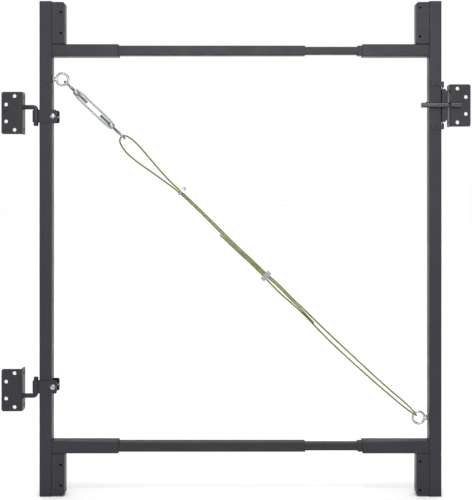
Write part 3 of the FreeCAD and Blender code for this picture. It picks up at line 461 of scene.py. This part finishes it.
def thread(start, end, radius, pitch, finish, sides=20):
    """A threaded bar from one point to another. The ridge is 0.6 of the pitch deep, as on a metric screw."""
    middle, span = (start + end) / 2, end - start
    mesh = grown(THREAD, finish, Radius=radius, Depth=0.6 * pitch, Pitch=pitch, Length=span.length,
                 Sides=sides)
    return placed(mesh, facing(middle, span))


def bar(points, radius, finish, closed=False, sides=16, **waves):
    """A round bar along a path, with the waves that the sweep tree offers."""
    return grown(SWEEP, finish, polyline(points, closed), Radius=radius, Sides=sides, **waves)


def turned(profile, finish, flats=None, steps=48):
    """A solid turned about +Z from a closed outline of (radius, height) pairs. Given the distance across
    its flats, it is a hexagon, and the outline's smaller radii become its turned chamfers."""
    shape = bmesh.new()
    rings = []
    for radius, height in profile:
        ring = []
        for i in range(steps):
            angle = math.tau * i / steps
            reach = radius
            if flats:
                off_flat = (angle + math.pi / 6) % (math.pi / 3) - math.pi / 6
                reach = min(radius, flats / 2 / math.cos(off_flat))
            ring.append(shape.verts.new((reach * math.cos(angle), reach * math.sin(angle), height)))
        rings.append(ring)
    for lower, upper in zip(rings, rings[1:] + rings[:1]):
        for i in range(steps):
            shape.faces.new((lower[i], lower[(i + 1) % steps], upper[(i + 1) % steps], upper[i]))
    bmesh.ops.remove_doubles(shape, verts=shape.verts, dist=1e-7)
    # where the outline runs along the axis, its faces have closed up to one bare edge
    bare = [edge for edge in shape.edges if not edge.link_faces]
    bmesh.ops.delete(shape, geom=bare, context="EDGES")
    bmesh.ops.recalc_face_normals(shape, faces=shape.faces)
    mesh = bpy.data.meshes.new("turned")
    shape.to_mesh(mesh)
    shape.free()
    mesh.materials.append(finish)
    return mesh


# %% [markdown]
# ### Finished pieces
# A finished piece takes the place of its CAD node, and one that is settled rides on the same body. Narrow
# facets are shaded smooth, except across edges sharper than 35 degrees, and wide faces stay truly flat, so
# no false light drifts over a plate.


# %% Finish a piece
FLAT_WIDTH = 2.5 * MM  # a facet of a curve is narrower than this, and a flat side of a piece is wider
SHARP = math.radians(35)


def flat_sides(shape):
    """Gather faces that lie in one plane, and shade a gathered side flat if it is wide enough."""
    waiting = set(shape.faces)
    while waiting:
        edge_of_side = [waiting.pop()]
        side = []
        while edge_of_side:
            face = edge_of_side.pop()
            side.append(face)
            for neighbour in {other for edge in face.edges for other in edge.link_faces} & waiting:
                if neighbour.normal.dot(face.normal) > 0.99999:
                    waiting.discard(neighbour)
                    edge_of_side.append(neighbour)
        corners = [vertex.co for face in side for vertex in face.verts]
        longest = max(max(c[i] for c in corners) - min(c[i] for c in corners) for i in range(3))
        wide = sum(face.calc_area() for face in side) > FLAT_WIDTH * longest
        for face in side:
            face.smooth = not wide


def finished(node, meshes, finish=None):
    """Join meshes into one object that stands for a CAD node."""
    whole = bmesh.new()
    kinds = []
    for mesh in meshes:
        first = len(whole.faces)
        if mesh.materials and mesh.materials[0] not in kinds:
            kinds.append(mesh.materials[0])
        whole.from_mesh(mesh)
        whole.faces.ensure_lookup_table()
        for face in whole.faces[first:]:
            face.material_index = kinds.index(mesh.materials[0]) if mesh.materials else 0
    whole.normal_update()
    for edge in whole.edges:
        edge.smooth = edge.calc_face_angle(math.pi) < SHARP
    flat_sides(whole)
    mesh = bpy.data.meshes.new(f"{node}_finished")
    whole.to_mesh(mesh)
    whole.free()
    mesh.materials.clear()
    for kind in kinds or [finish]:
        mesh.materials.append(kind)
    piece = bpy.data.objects.new(f"{node}_finished", mesh)
    bpy.context.scene.collection.objects.link(piece)
    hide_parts(node)
    return piece


def settled(node, meshes, finish=None):
    """A finished piece that rides on its node's body."""
    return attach(finished(node, meshes, finish), body_of[node])


# %% [markdown]
# ## Tubes, sheet and bar with softened edges
# Nothing sawn, sheared or bent has a perfectly sharp edge, and a thin line of light along each edge is
# what makes steel look solid. The CAD surface comes as loose triangles, so a copy is merged, flat areas
# are dissolved into single faces, and a small bevel rolls over every edge sharper than 35 degrees.


# %% Soften copies of the CAD pieces
BEVEL_ROWS = 3


def softened(node, finish, edge=0.5 * MM):
    """A copy of a CAD piece's mesh, with its edges rolled over by this much."""
    mesh = frame["nodes"][node].data.copy()
    # the shading that came with the triangles wouldn't fit the new edges
    if "custom_normal" in mesh.attributes:
        mesh.attributes.remove(mesh.attributes["custom_normal"])
    shape = bmesh.new()
    shape.from_mesh(mesh)
    bmesh.ops.remove_doubles(shape, verts=shape.verts, dist=1e-6)
    bmesh.ops.dissolve_limit(shape, angle_limit=math.radians(0.5), verts=shape.verts, edges=shape.edges)
    shape.to_mesh(mesh)
    shape.free()
    mesh.materials.clear()
    mesh.materials.append(finish)
    holder = bpy.data.objects.new(node + "_soft", mesh)
    bpy.context.scene.collection.objects.link(holder)
    bevel = holder.modifiers.new("edge", "BEVEL")
    bevel.width = edge
    bevel.segments = BEVEL_ROWS
    bevel.limit_method = "ANGLE"
    bevel.angle_limit = SHARP
    ready = holder.evaluated_get(bpy.context.evaluated_depsgraph_get())
    rolled = bpy.data.meshes.new_from_object(ready)
    bpy.data.objects.remove(holder)
    return rolled


# %% [markdown]
# ## Weld beads
# The sleeves, hooks, barrels and the striker rod are MIG welded on before coating, so the bead is under
# the same grey coat. A bead is a half-sunk bar with a ripple about every 1.6 mm, one for each pause of
# the gun. A tack is the same thing only a few millimetres long.


# %% Lay a bead
def bead(points, radius=1.6 * MM, closed=False, finish=frame_coat):
    """Points every 0.4 mm along straight stretches between the given corners, swept with ripples."""
    spacing = 0.4 * MM
    corners = points + points[:1] if closed else points
    fine = []
    for start, end in zip(corners, corners[1:]):
        count = max(2, round((end - start).length / spacing))
        fine += [start.lerp(end, i / count) for i in range(count)]
    if not closed:
        fine.append(corners[-1])
    return bar(fine, radius, finish, closed, sides=8, Ripple=0.3 * radius, Step=1.6 * MM)


def round_rectangle(x, low, high, corner):
    """A path round a square tube that runs along X, at this x: eight points with cut corners."""
    (y0, z0), (y1, z1) = low, high
    return [Vector((x, y, z)) for y, z in (
        (y0 + corner, z0), (y1 - corner, z0), (y1, z0 + corner), (y1, z1 - corner),
        (y1 - corner, z1), (y0 + corner, z1), (y0, z1 - corner), (y0, z0 + corner))]


# %% [markdown]
# ## Uprights and rails
# Each upright is a square tube with a plastic cap in both ends and a short sleeve welded on for each
# rail. They could be rebuilt as boxes, but their holes are already in the CAD mesh, so each is a softened
# copy of it, and only the weld bead round the sleeve's foot is new.


# %% Uprights, sleeves and caps
TUBE_CORNER = 2.5 * MM
for side in ("left", "right"):
    settled(f"{side}_upright", [softened(f"{side}_upright", frame_coat, 0.4 * MM)])
    for end in ("top", "bottom"):
        settled(f"{side}_{end}_cap", [softened(f"{side}_{end}_cap", moulded, 0.6 * MM)])
    for rail in ("top", "bottom"):
        node = f"{side}_{rail}_sleeve"
        low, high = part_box(node)
        inner_face = low.x if side == "left" else high.x
        ring = round_rectangle(inner_face, (low.y, low.z), (high.y, high.z), TUBE_CORNER)
        settled(node, [softened(node, frame_coat), bead(ring, 1.3 * MM, closed=True)])
print("uprights and sleeves done")

# %% [markdown]
# The rails slide, so their coat is rubbed along X. That is why they have a coat of their own.


# %% The tubes that slide
for stage in ("left", "inner", "right"):
    for rail in ("top", "bottom"):
        settled(f"{stage}_{rail}_tube", [softened(f"{stage}_{rail}_tube", tube_coat, 0.4 * MM)])
print("tubes done")

# %% [markdown]
# ## Corner brackets
# Each is a U of sheet, tacked to the upright at two heights on its front and on its back. A tack could be
# a bump in the material, but it stands out from the sheet, so it is a short bead with a real height.


# %% Corner brackets with their tacks
TACK, TACK_IN = 7 * MM, 0.6 * MM
for end in ("top", "bottom"):
    for side in ("left", "right"):
        node = f"{end}_{side}_corner_bracket"
        low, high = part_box(node)
        joint_x = low.x if side == "left" else high.x
        tacks = []
        for share in (0.2, 0.8):
            z = low.z + (high.z - low.z) * share
            for y in (low.y + TACK_IN, high.y - TACK_IN):
                tacks.append(bead([Vector((joint_x, y, z - TACK / 2)), Vector((joint_x, y, z + TACK / 2))],
                                  1.5 * MM))
        settled(node, [softened(node, frame_coat, 0.6 * MM)] + tacks)
print("corner brackets done")

# %% [markdown]
# ## Post brackets and hinges
# A round-bar hook is welded to each hinge bracket's flange and drops into a barrel welded to the clamp.
# The beads that hold them are rings round the bar, and straight runs beside the barrel. The same swept
# bead does both, because only the path differs.


# %% Post brackets and hooks
for level in ("upper", "lower"):
    node = f"{level}_hinge_post_bracket"
    settled(node, [softened(node, bracket_coat, 0.5 * MM)])
    low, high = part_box(f"{level}_hinge_hook")
    bar_radius = (high.y - low.y) / 2
    middle_y = (low.y + high.y) / 2
    arm_z = high.z - bar_radius if level == "upper" else low.z + bar_radius
    foot = Vector((low.x, middle_y, arm_z))
    weld = bead(arc(foot, Vector((0, 1, 0)), Vector((0, 0, 1)), bar_radius, 0, 345, 40), 1.8 * MM,
                closed=True, finish=hook_coat)
    settled(f"{level}_hinge_hook", [softened(f"{level}_hinge_hook", hook_coat, 0.4 * MM), weld])
settled("latch_post_bracket", [softened("latch_post_bracket", bracket_coat, 0.5 * MM)])
print("post brackets and hooks done")

# %% [markdown]
# A clamp is a strap of sheet round the upright. Its barrel is a round tube welded to the strap, so
# where the two meet follows from the barrel's radius and how far its middle is from the strap.


# %% Clamps with the beads beside their barrels
BARREL_RADIUS, STRAP_SHEET, BEAD_END = 9 * MM, 3 * MM, 3 * MM
for level in ("upper", "lower"):
    node = f"{level}_hinge_clamp"
    low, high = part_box(node)
    post_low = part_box("left_upright")[0]
    hook_low, hook_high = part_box(f"{level}_hinge_hook")
    pin = Vector((low.x + BARREL_RADIUS, (hook_low.y + hook_high.y) / 2, 0))
    strap_x = post_low.x - STRAP_SHEET
    reach = strap_x - pin.x
    side_y = math.sqrt(max(BARREL_RADIUS ** 2 - reach ** 2, 0))
    beads = []
    for y in (pin.y - side_y, pin.y + side_y):
        ends = [Vector((strap_x, y, low.z + BEAD_END)), Vector((strap_x, y, high.z - BEAD_END))]
        beads.append(bead(ends, 1.5 * MM, finish=bracket_coat))
    settled(node, [softened(node, bracket_coat, 0.5 * MM)] + beads)
print("hinges done")

# %% [markdown]
# ## Bolts and nuts
# A nut is a hexagon turned at both ends, so each corner has a curved chamfer: the smaller of a circle
# and a hexagon at every angle. A Bevel modifier would chamfer its edges evenly, which a lathe doesn't.
# Round heads are turned from a domed outline. The bolt's end beyond its nut shows its thread.


# %% Outlines of nuts and heads
def nut(flats, height, hole, finish, flange=0.0, lip=0.0):
    """A hexagon nut from 0 to its height along +Z, on a round flange if one is given."""
    corner = flats / math.sqrt(3)
    chamfer = corner - flats / 2
    sink = min(0.8 * MM, (flats / 2 - hole) * 0.4)
    outline = [(hole, 0)]
    if flange:
        outline += [(flange / 2 - 0.3 * MM, 0), (flange / 2, 0.3 * MM), (flange / 2, lip * 0.6)]
        body = turned(outline + [(flats / 2, lip), (hole, lip)], finish)
        top = turned([(hole, lip * 0.5), (corner, lip * 0.5), (corner, height - chamfer),
                      (flats / 2 * 0.95, height), (hole + sink, height), (hole, height - sink)],
                     finish, flats)
        return [body, top]
    outline += [(flats / 2 * 0.95, 0), (corner, chamfer), (corner, height - chamfer),
                (flats / 2 * 0.95, height), (hole + sink, height), (hole, height - sink)]
    return [turned(outline, finish, flats)]


def dome(radius, height, finish):
    """A low round head from 0 to its height along +Z, with a small flat rim."""
    rim = 0.8 * MM
    steps = 6
    outline = [(0, 0), (radius, 0), (radius, rim)]
    for i in range(1, steps + 1):
        angle = math.pi / 2 * i / steps
        outline.append((radius * math.cos(angle), rim + (height - rim) * math.sin(angle)))
    outline[-1] = (0, height)
    return turned(outline, finish)


# %% [markdown]
# The upper clamp's bolt shows its round head, and the lower one's is turned about and shows its nut.


# %% Clamp bolts and nuts
CLAMP_SHANK, CLAMP_PITCH, CLAMP_NUT, CLAMP_LIP = 3 * MM, 1 * MM, 10 * MM, 1.2 * MM
for level, head_side in (("upper", -1), ("lower", 1)):
    low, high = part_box(f"{level}_clamp_bolt")
    strap_low, strap_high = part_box(f"{level}_hinge_clamp")
    axis_x, axis_z = (low.x + high.x) / 2, (low.z + high.z) / 2
    towards_head = Vector((0, head_side, 0))
    head_face, nut_face = ((strap_low.y, strap_high.y) if head_side < 0 else (strap_high.y, strap_low.y))
    head_rise = abs((low.y if head_side < 0 else high.y) - head_face)
    head = placed(dome((high.x - low.x) / 2, head_rise, zinc),
                  facing(Vector((axis_x, head_face, axis_z)), towards_head))
    tail_y = high.y if head_side < 0 else low.y
    stem = thread(Vector((axis_x, head_face, axis_z)), Vector((axis_x, tail_y, axis_z)), CLAMP_SHANK,
                  CLAMP_PITCH, zinc)
    settled(f"{level}_clamp_bolt", [head, stem])
    low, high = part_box(f"{level}_clamp_nut")
    shapes = nut(CLAMP_NUT, high.y - low.y, CLAMP_SHANK, zinc, high.x - low.x, CLAMP_LIP)
    seat = facing(Vector((axis_x, nut_face, axis_z)), -towards_head)
    settled(f"{level}_clamp_nut", [placed(shape, seat) for shape in shapes])
print("clamp bolts done")

# %% [markdown]
# ## Eye bolts
# An eye bolt is one bar bent into a ring and rolled with a thread. It screws into an insert in the
# upright and a flange nut locks it. The ring's centre comes from the CAD box: the box is as high as the
# ring is wide.


# %% Eye bolts, lock nuts and inserts
RING_WIRE, EYE_NUT, EYE_LIP, COARSE_PITCH = 3 * MM, 13 * MM, 1.6 * MM, 1.25 * MM
X_AXIS, Y_AXIS, Z_AXIS = Vector((1, 0, 0)), Vector((0, 1, 0)), Vector((0, 0, 1))
ring_centre = {}
for side, outward in (("left", -1), ("right", 1)):
    low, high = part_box(f"{side}_eye_bolt")
    outer = (high.z - low.z) / 2
    centre = (low + high) / 2
    centre.x = high.x - outer if side == "left" else low.x + outer
    ring_centre[side] = centre
    middle_radius = outer - RING_WIRE
    ring = bar(arc(centre, X_AXIS, Z_AXIS, middle_radius, 0, 354, 59), RING_WIRE, zinc, closed=True,
               sides=20)
    shank = (high.y - low.y) / 2
    away = Vector((outward, 0, 0))
    root = centre + away * middle_radius
    tip = Vector((low.x if side == "left" else high.x, centre.y, centre.z))
    neck = turned([(0, 0), (RING_WIRE, 0), (shank, 4 * MM), (shank, 5 * MM), (0, 5 * MM)], zinc)
    stem = thread(root + away * 4 * MM, tip, shank, COARSE_PITCH, zinc, sides=24)
    settled(f"{side}_eye_bolt", [ring, placed(neck, facing(root - away * MM, away)), stem])
    low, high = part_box(f"{side}_eye_nut")
    seat_x = low.x if side == "left" else high.x
    shapes = nut(EYE_NUT, high.x - low.x, shank, zinc, high.y - low.y, EYE_LIP)
    seat = facing(Vector((seat_x, centre.y, centre.z)), -away)
    settled(f"{side}_eye_nut", [placed(shape, seat) for shape in shapes])
    settled(f"{side}_eye_insert", [softened(f"{side}_eye_insert", zinc, 0.3 * MM)])

# the brace's own axes: x from the left ring to the right one, z square to it towards the upper right
brace_x = (ring_centre["right"] - ring_centre["left"]).normalized()
brace_z = brace_x.cross(Y_AXIS)
brace_turn = Matrix((brace_x, Y_AXIS, brace_z)).transposed().to_4x4()
brace = Matrix.Translation(ring_centre["left"]) @ brace_turn
print("rings apart, mm:", round((ring_centre["right"] - ring_centre["left"]).length / MM, 1))


def on_brace(s, y=0.0, n=0.0):
    """A place so far along the brace, behind it and beside it."""
    return brace @ Vector((s, y, n))


# %% [markdown]
# ## Turnbuckle
# The open frame has a hub at each end, one threaded left-handed and one right-handed, and two bars
# between them. Turning it with a bar through its window draws both screws in. Its hubs are turned, and
# its bars are swept along bent paths whose ends run into the hubs.


# %% Turnbuckle
FRAME_START, FRAME_LENGTH, HUB, HUB_LENGTH = 43.4 * MM, 140.3 * MM, 6.75 * MM, 14 * MM
BAR_RADIUS, BAR_OFF, SCREW, SCREW_IN = 2.5 * MM, 8.25 * MM, 4 * MM, 46 * MM
EYE, EYE_WIRE = 9 * MM, 2.8 * MM
UPPER_EYE, LOWER_EYE = 18.2 * MM, 216 * MM
frame_end = FRAME_START + FRAME_LENGTH
shapes = []
for start, along in ((FRAME_START, 1), (frame_end, -1)):
    outline = [(SCREW + 0.1 * MM, 0), (HUB - 1.2 * MM, 0), (HUB - 0.3 * MM, 0.4 * MM), (HUB, 1.4 * MM),
               (HUB, HUB_LENGTH - 3 * MM), (HUB - 0.8 * MM, HUB_LENGTH - 1.2 * MM),
               (HUB - 2.4 * MM, HUB_LENGTH), (SCREW + 0.1 * MM, HUB_LENGTH)]
    shapes.append(placed(turned(outline, galvanised), facing(on_brace(start), brace_x * along)))
# how far from the frame's end each bend of a bar is, and how far it has come in from the straight part
BENDS = [(3 * MM, 3 * MM), (11 * MM, 1.8 * MM), (19 * MM, 0.4 * MM), (25 * MM, 0)]
for sign in (1, -1):
    ends = [on_brace(FRAME_START + s, 0, sign * (BAR_OFF - inward)) for s, inward in BENDS]
    ends += [on_brace(frame_end - s, 0, sign * (BAR_OFF - inward)) for s, inward in reversed(BENDS)]
    shapes.append(bar(ends, BAR_RADIUS, galvanised))
settled("turnbuckle_frame", shapes)

for level, eye, near, far in (
        ("upper", UPPER_EYE, UPPER_EYE + EYE, FRAME_START + SCREW_IN),
        ("lower", LOWER_EYE, LOWER_EYE - EYE, frame_end - SCREW_IN)):
    way = 1 if far > near else -1
    ring = bar(arc(on_brace(eye), brace_x, Y_AXIS, EYE, 0, 352, 44), EYE_WIRE, galvanised, closed=True)
    neck = turned([(0, 0), (EYE_WIRE, 0), (SCREW, 3.5 * MM), (SCREW, 5 * MM), (0, 5 * MM)], galvanised)
    stem = thread(on_brace(near + way * 4 * MM), on_brace(far), SCREW, COARSE_PITCH, zinc, sides=24)
    settled(f"turnbuckle_{level}_screw", [
        ring, placed(neck, facing(on_brace(near - way * MM), brace_x * way)), stem])
print("turnbuckle done")

# %% [markdown]
# ## The wire rope
# The rope is 4 mm over its coat and about 2.5 m long. It goes from a loose end down to the right-hand
# ring, back up through both clips to the turnbuckle's eye, and through the clips again to its other
# loose end. Its line is one NURBS spline through the route's control points, so it bends like rope and
# not like wire. The coat lies over seven strands, so shallow furrows wind round it, one turn in 30 mm.


# %% The rope's line
ROPE = [
    (0.5800, 0.0000, -0.0110), (0.6320, 0.0004, -0.0114), (0.6840, 0.0006, -0.0100),
    (0.7360, 0.0002, -0.0106), (0.7900, -0.0004, -0.0142), (0.8420, 0.0000, -0.0122),
    (0.8880, 0.0008, -0.0106), (0.9400, 0.0010, -0.0144), (1.0000, 0.0000, -0.0153),
    (1.0700, 0.0004, -0.0142), (1.1400, 0.0008, -0.0120), (1.2000, 0.0020, -0.0092),
    (1.2320, 0.0044, -0.0074), (1.2560, 0.0060, -0.0050), (1.2775, 0.0065, -0.0016),
    (1.2775, -0.0065, 0.0016), (1.2550, -0.0056, 0.0042), (1.2260, -0.0036, 0.0040),
    (1.1840, -0.0016, 0.0008), (1.1200, -0.0006, -0.0010), (1.0500, 0.0004, -0.0016),
    (0.9900, 0.0000, -0.0023), (0.9300, -0.0006, -0.0022), (0.8800, 0.0004, -0.0012),
    (0.8320, 0.0002, -0.0018), (0.7840, 0.0000, 0.0009), (0.7380, 0.0002, -0.0018),
    (0.6860, -0.0016, -0.0010), (0.6320, 0.0002, -0.0022), (0.5780, 0.0004, -0.0010),
    (0.5240, 0.0000, 0.0005), (0.4740, -0.0002, 0.0011), (0.4290, 0.0000, 0.0007),
    (0.3920, 0.0000, -0.0001), (0.3500, 0.0004, 0.0029), (0.3090, 0.0002, 0.0071),
    (0.2690, -0.0003, 0.0116), (0.2380, -0.0002, 0.0122), (0.2160, 0.0000, 0.0050),
    (0.2160, 0.0000, -0.0120), (0.2320, 0.0002, -0.0204), (0.2550, 0.0003, -0.0246),
    (0.2890, 0.0000, -0.0226), (0.3330, -0.0004, -0.0158), (0.3810, 0.0000, -0.0092),
    (0.4270, 0.0000, -0.0037), (0.4740, 0.0002, -0.0034), (0.5240, 0.0000, -0.0041),
    (0.5780, -0.0002, -0.0059), (0.6320, -0.0004, -0.0070), (0.6840, 0.0018, -0.0056),
    (0.7380, 0.0004, -0.0062), (0.7880, -0.0004, -0.0039), (0.8360, -0.0008, -0.0064),
    (0.8780, -0.0024, -0.0062), (0.9170, -0.0039, -0.0096),
]
ROPE_RADIUS = 2 * MM


def spline_points(control):
    """The points of the NURBS spline that these control points make, and its length."""
    curve = bpy.data.curves.new("route", "CURVE")
    curve.dimensions = "3D"
    spline = curve.splines.new("NURBS")
    spline.points.add(len(control) - 1)
    for point, place in zip(spline.points, control):
        point.co = (*place, 1)
    spline.order_u = 3
    spline.use_endpoint_u = True
    spline.resolution_u = 24
    holder = bpy.data.objects.new("route", curve)
    bpy.context.scene.collection.objects.link(holder)
    mesh = bpy.data.meshes.new_from_object(holder)
    bpy.data.objects.remove(holder)
    line = [vertex.co.copy() for vertex in mesh.vertices]
    return line, sum((after - before).length for before, after in zip(line, line[1:]))


rope_points, rope_length = spline_points([on_brace(*point) for point in ROPE])
print("rope length, mm:", round(rope_length / MM, 1), "points:", len(rope_points))

# %% [markdown]
# The rope's mesh follows the points of that spline.


# %% The rope itself
rope = finished("truss_cable", [bar(rope_points, ROPE_RADIUS, green_coat, sides=21, Strands=7.0,
                                    Lay=30 * MM, Furrow=0.16 * MM)])
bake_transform(rope)

# %% [markdown]
# ## Wire rope clips
# A clip is a cast saddle with a U-bolt over the rope and two nuts. The first is turned on edge, so its
# legs point up beside the rope, and the second points forward. A shape is made in the clip's own axes:
# legs along -Y, spaced along Z, rope along X.


# %% Clips
CLIP_SPACING, CLIP_ROD, CLIP_LEG, BEND_SIDES = 19 * MM, 2.5 * MM, 15.5 * MM, 24
SADDLE_SEAT, SADDLE_HEIGHT, CLIP_NUT, CLIP_NUT_HEIGHT = 2.2 * MM, 6 * MM, 8 * MM, 4 * MM
for clip, s, n, roll in (("clip_1", 0.429, 0.7 * MM, -90), ("clip_2", 0.741, -6.2 * MM, 0)):
    spot = brace @ Matrix.Translation((s, 0, n)) @ Matrix.Rotation(math.radians(roll), 4, "X")
    half = CLIP_SPACING / 2
    bend = arc(Vector(), Z_AXIS, Y_AXIS, half, 0, 180, BEND_SIDES)
    thread_start = -SADDLE_SEAT
    path = [Vector((0, thread_start, half))] + bend + [Vector((0, thread_start, -half))]
    shapes = [bar(path, CLIP_ROD, zinc)]
    for sign in (1, -1):
        shapes.append(thread(Vector((0, thread_start + 0.5 * MM, sign * half)),
                             Vector((0, -CLIP_LEG, sign * half)), CLIP_ROD, 0.8 * MM, zinc, sides=16))
    settled(f"{clip}_u_bolt", [placed(shape, spot) for shape in shapes])
    settled(f"{clip}_saddle", [softened(f"{clip}_saddle", zinc, 1.2 * MM)])
    nuts = []
    for sign in (1, -1):
        seat = facing(Vector((0, -SADDLE_SEAT - SADDLE_HEIGHT, sign * half)), -Y_AXIS)
        nuts += [placed(shape, spot @ seat) for shape in nut(CLIP_NUT, CLIP_NUT_HEIGHT, CLIP_ROD, zinc)]
    settled(f"{clip}_nuts", nuts)
print("clips done")

# %% [markdown]


# %% [markdown]
# ## Latch
# The striker rod is welded to a sheet bracket on the gate. The catch hangs from a rivet on the post's
# bracket and drops over the rod by its own weight. Their outlines come from the CAD pieces, softened, so
# the latch still closes as it was designed to.


# %% Latch
node = "latch_gate_bracket"
low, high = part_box(node)
rod_low, rod_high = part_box("striker_rod")
rod_radius = (rod_high.z - rod_low.z) / 2
rod_z = (rod_low.z + rod_high.z) / 2
settled(node, [softened(node, bracket_coat, 0.5 * MM)])
post_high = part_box("right_upright")[1]
beads = []
for z in (rod_z - 0.8 * rod_radius, rod_z + 0.8 * rod_radius):
    beads.append(bead([Vector((post_high.x + 1 * MM, low.y + 0.4 * MM, z)),
                       Vector((high.x - 1 * MM, low.y + 0.4 * MM, z))], 1.6 * MM, finish=striker_coat))
settled("striker_rod", [softened("striker_rod", striker_coat, 0.3 * MM)] + beads)
settled("latch_catch", [softened("latch_catch", hook_coat, 0.5 * MM)])
settled("catch_pivot_pin", [softened("catch_pivot_pin", zinc, 0.5 * MM)])
settled("catch_stop_rivet", [softened("catch_stop_rivet", zinc, 0.4 * MM)])

# %% [markdown]
# Two hexagon-headed screws with a hollow in the head hold the latch's bracket, under the same coat.


# %% Latch bracket's screws
HEAD_FLATS, HEAD_RISE, HOLLOW, BEVEL = 8 * MM, 2 * MM, 0.4 * MM, 0.8 * MM
SCREW_RADIUS, SCREW_PITCH, SCREW_TO_EDGE = 2.4 * MM, 1.6 * MM, 5.5 * MM
low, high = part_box("latch_bracket_screws")
gate_low, gate_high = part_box("latch_gate_bracket")
axis_x = (low.x + high.x) / 2
half_flats = HEAD_FLATS / 2
corner = HEAD_FLATS / math.sqrt(3)
outline = [(0, 0), (corner, 0), (corner, HEAD_RISE - BEVEL), (half_flats * 0.95, HEAD_RISE),
           (half_flats * 0.6, HEAD_RISE), (half_flats * 0.5, HEAD_RISE - HOLLOW), (0, HEAD_RISE - HOLLOW)]
shapes = []
for z in (gate_low.z + SCREW_TO_EDGE, gate_high.z - SCREW_TO_EDGE):
    seat = Vector((axis_x, gate_low.y, z))
    shapes.append(placed(turned(outline, bracket_coat, HEAD_FLATS), facing(seat, -Y_AXIS)))
    shapes.append(thread(seat, Vector((axis_x, high.y, z)), SCREW_RADIUS, SCREW_PITCH, bracket_coat,
                         sides=16))
settled("latch_bracket_screws", shapes)
print("latch done")

# %% [markdown]
# ## Studio
# A pale floor lies under it, and the sky is white at eye level, dim above that and bright overhead, so
# that bright metal has something dark to reflect. One large lamp in front gives the steel its slow
# shading from top to bottom, and a narrow strip above draws a thin highlight along every round bar.

# %% Floor and light
FLOOR = 30.0
WALL_TOP, DIM, ROOF = 0.3, 0.15, 2.4
floor_mesh = bpy.data.meshes.new("floor")
corners = [(-FLOOR, -FLOOR, 0), (FLOOR, -FLOOR, 0), (FLOOR, FLOOR, 0), (-FLOOR, FLOOR, 0)]
floor_mesh.from_pydata(corners, [], [(0, 1, 2, 3)])
floor = bpy.data.objects.new("floor", floor_mesh)
floor.location.z = cad_low.z - 0.2 * MM
bpy.context.scene.collection.objects.link(floor)
floor_paint, _, shader, _ = new_finish("floor_paint")
shader.inputs["Base Color"].default_value = colour("#F4F4F4")
shader.inputs["Roughness"].default_value = 0.9
floor_mesh.materials.append(floor_paint)

world = bpy.data.worlds.new("studio")
world.use_nodes = True
tree = world.node_tree
sky = tree.nodes["Background"]
sky.inputs["Color"].default_value = (1, 1, 1, 1)
ray = add(tree, "ShaderNodeSeparateXYZ", {0: add(tree, "ShaderNodeTexCoord").outputs["Generated"]})
away = add(tree, "ShaderNodeMapRange", {"Value": ray.outputs[2], "From Min": WALL_TOP,
                                        "From Max": WALL_TOP + 0.1, "To Min": 1.0, "To Max": DIM})
roof = add(tree, "ShaderNodeMapRange", {"Value": ray.outputs[2], "From Min": 0.75, "From Max": 0.85,
                                        "To Min": 0.0, "To Max": ROOF})
both = add(tree, "ShaderNodeMath", [away, roof], operation="ADD")
tree.links.new(both.outputs[0], sky.inputs["Strength"])
bpy.context.scene.world = world
bpy.context.scene.view_settings.view_transform = "Standard"


def lamp(name, place, target, width, height, power):
    """A soft rectangle of light, in metres and watts. Its width lies level."""
    light = bpy.data.lights.new(name, "AREA")
    light.shape = "RECTANGLE"
    light.size, light.size_y = width, height
    light.energy = power
    holder = bpy.data.objects.new(name, light)
    holder.matrix_world = facing(Vector(place), Vector(place) - Vector(target), X_AXIS)
    bpy.context.scene.collection.objects.link(holder)


lamp("front_lamp", (0.1, -2.6, 1.35), (0, 0, 1.0), 2.0, 1.4, 24)
lamp("strip_lamp", (0.1, -1.3, 2.3), (0, 0, 0.9), 1.8, 0.12, 14)
print("floor, sky and lamps ready")

# %% [markdown]
# ### Camera
# The camera is square to the gate, just right of its middle and a little above it. It isn't tilted, so
# the uprights stay parallel. The lens is shifted instead, sideways and down, to centre the gate.


# %% Camera
CAMERA_AWAY, CAMERA_RIGHT, CAMERA_HEIGHT = 2.3, 0.0117, 0.816
SENSOR, LENS, MIDDLE_HEIGHT = 36, 63.65, 0.642
gate_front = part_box("left_upright")[0].y
view_height = SENSOR / LENS * CAMERA_AWAY
camera_data = bpy.data.cameras.new("camera")
camera_data.sensor_width = SENSOR
camera_data.lens = LENS
camera_data.shift_x = -CAMERA_RIGHT / view_height
camera_data.shift_y = (MIDDLE_HEIGHT - CAMERA_HEIGHT) / view_height
camera = bpy.data.objects.new("camera", camera_data)
camera.location = (CAMERA_RIGHT, gate_front - CAMERA_AWAY, CAMERA_HEIGHT)
camera.rotation_euler = (math.pi / 2, 0, 0)
bpy.context.scene.collection.objects.link(camera)
bpy.context.scene.camera = camera
print("camera height, m:", CAMERA_HEIGHT)
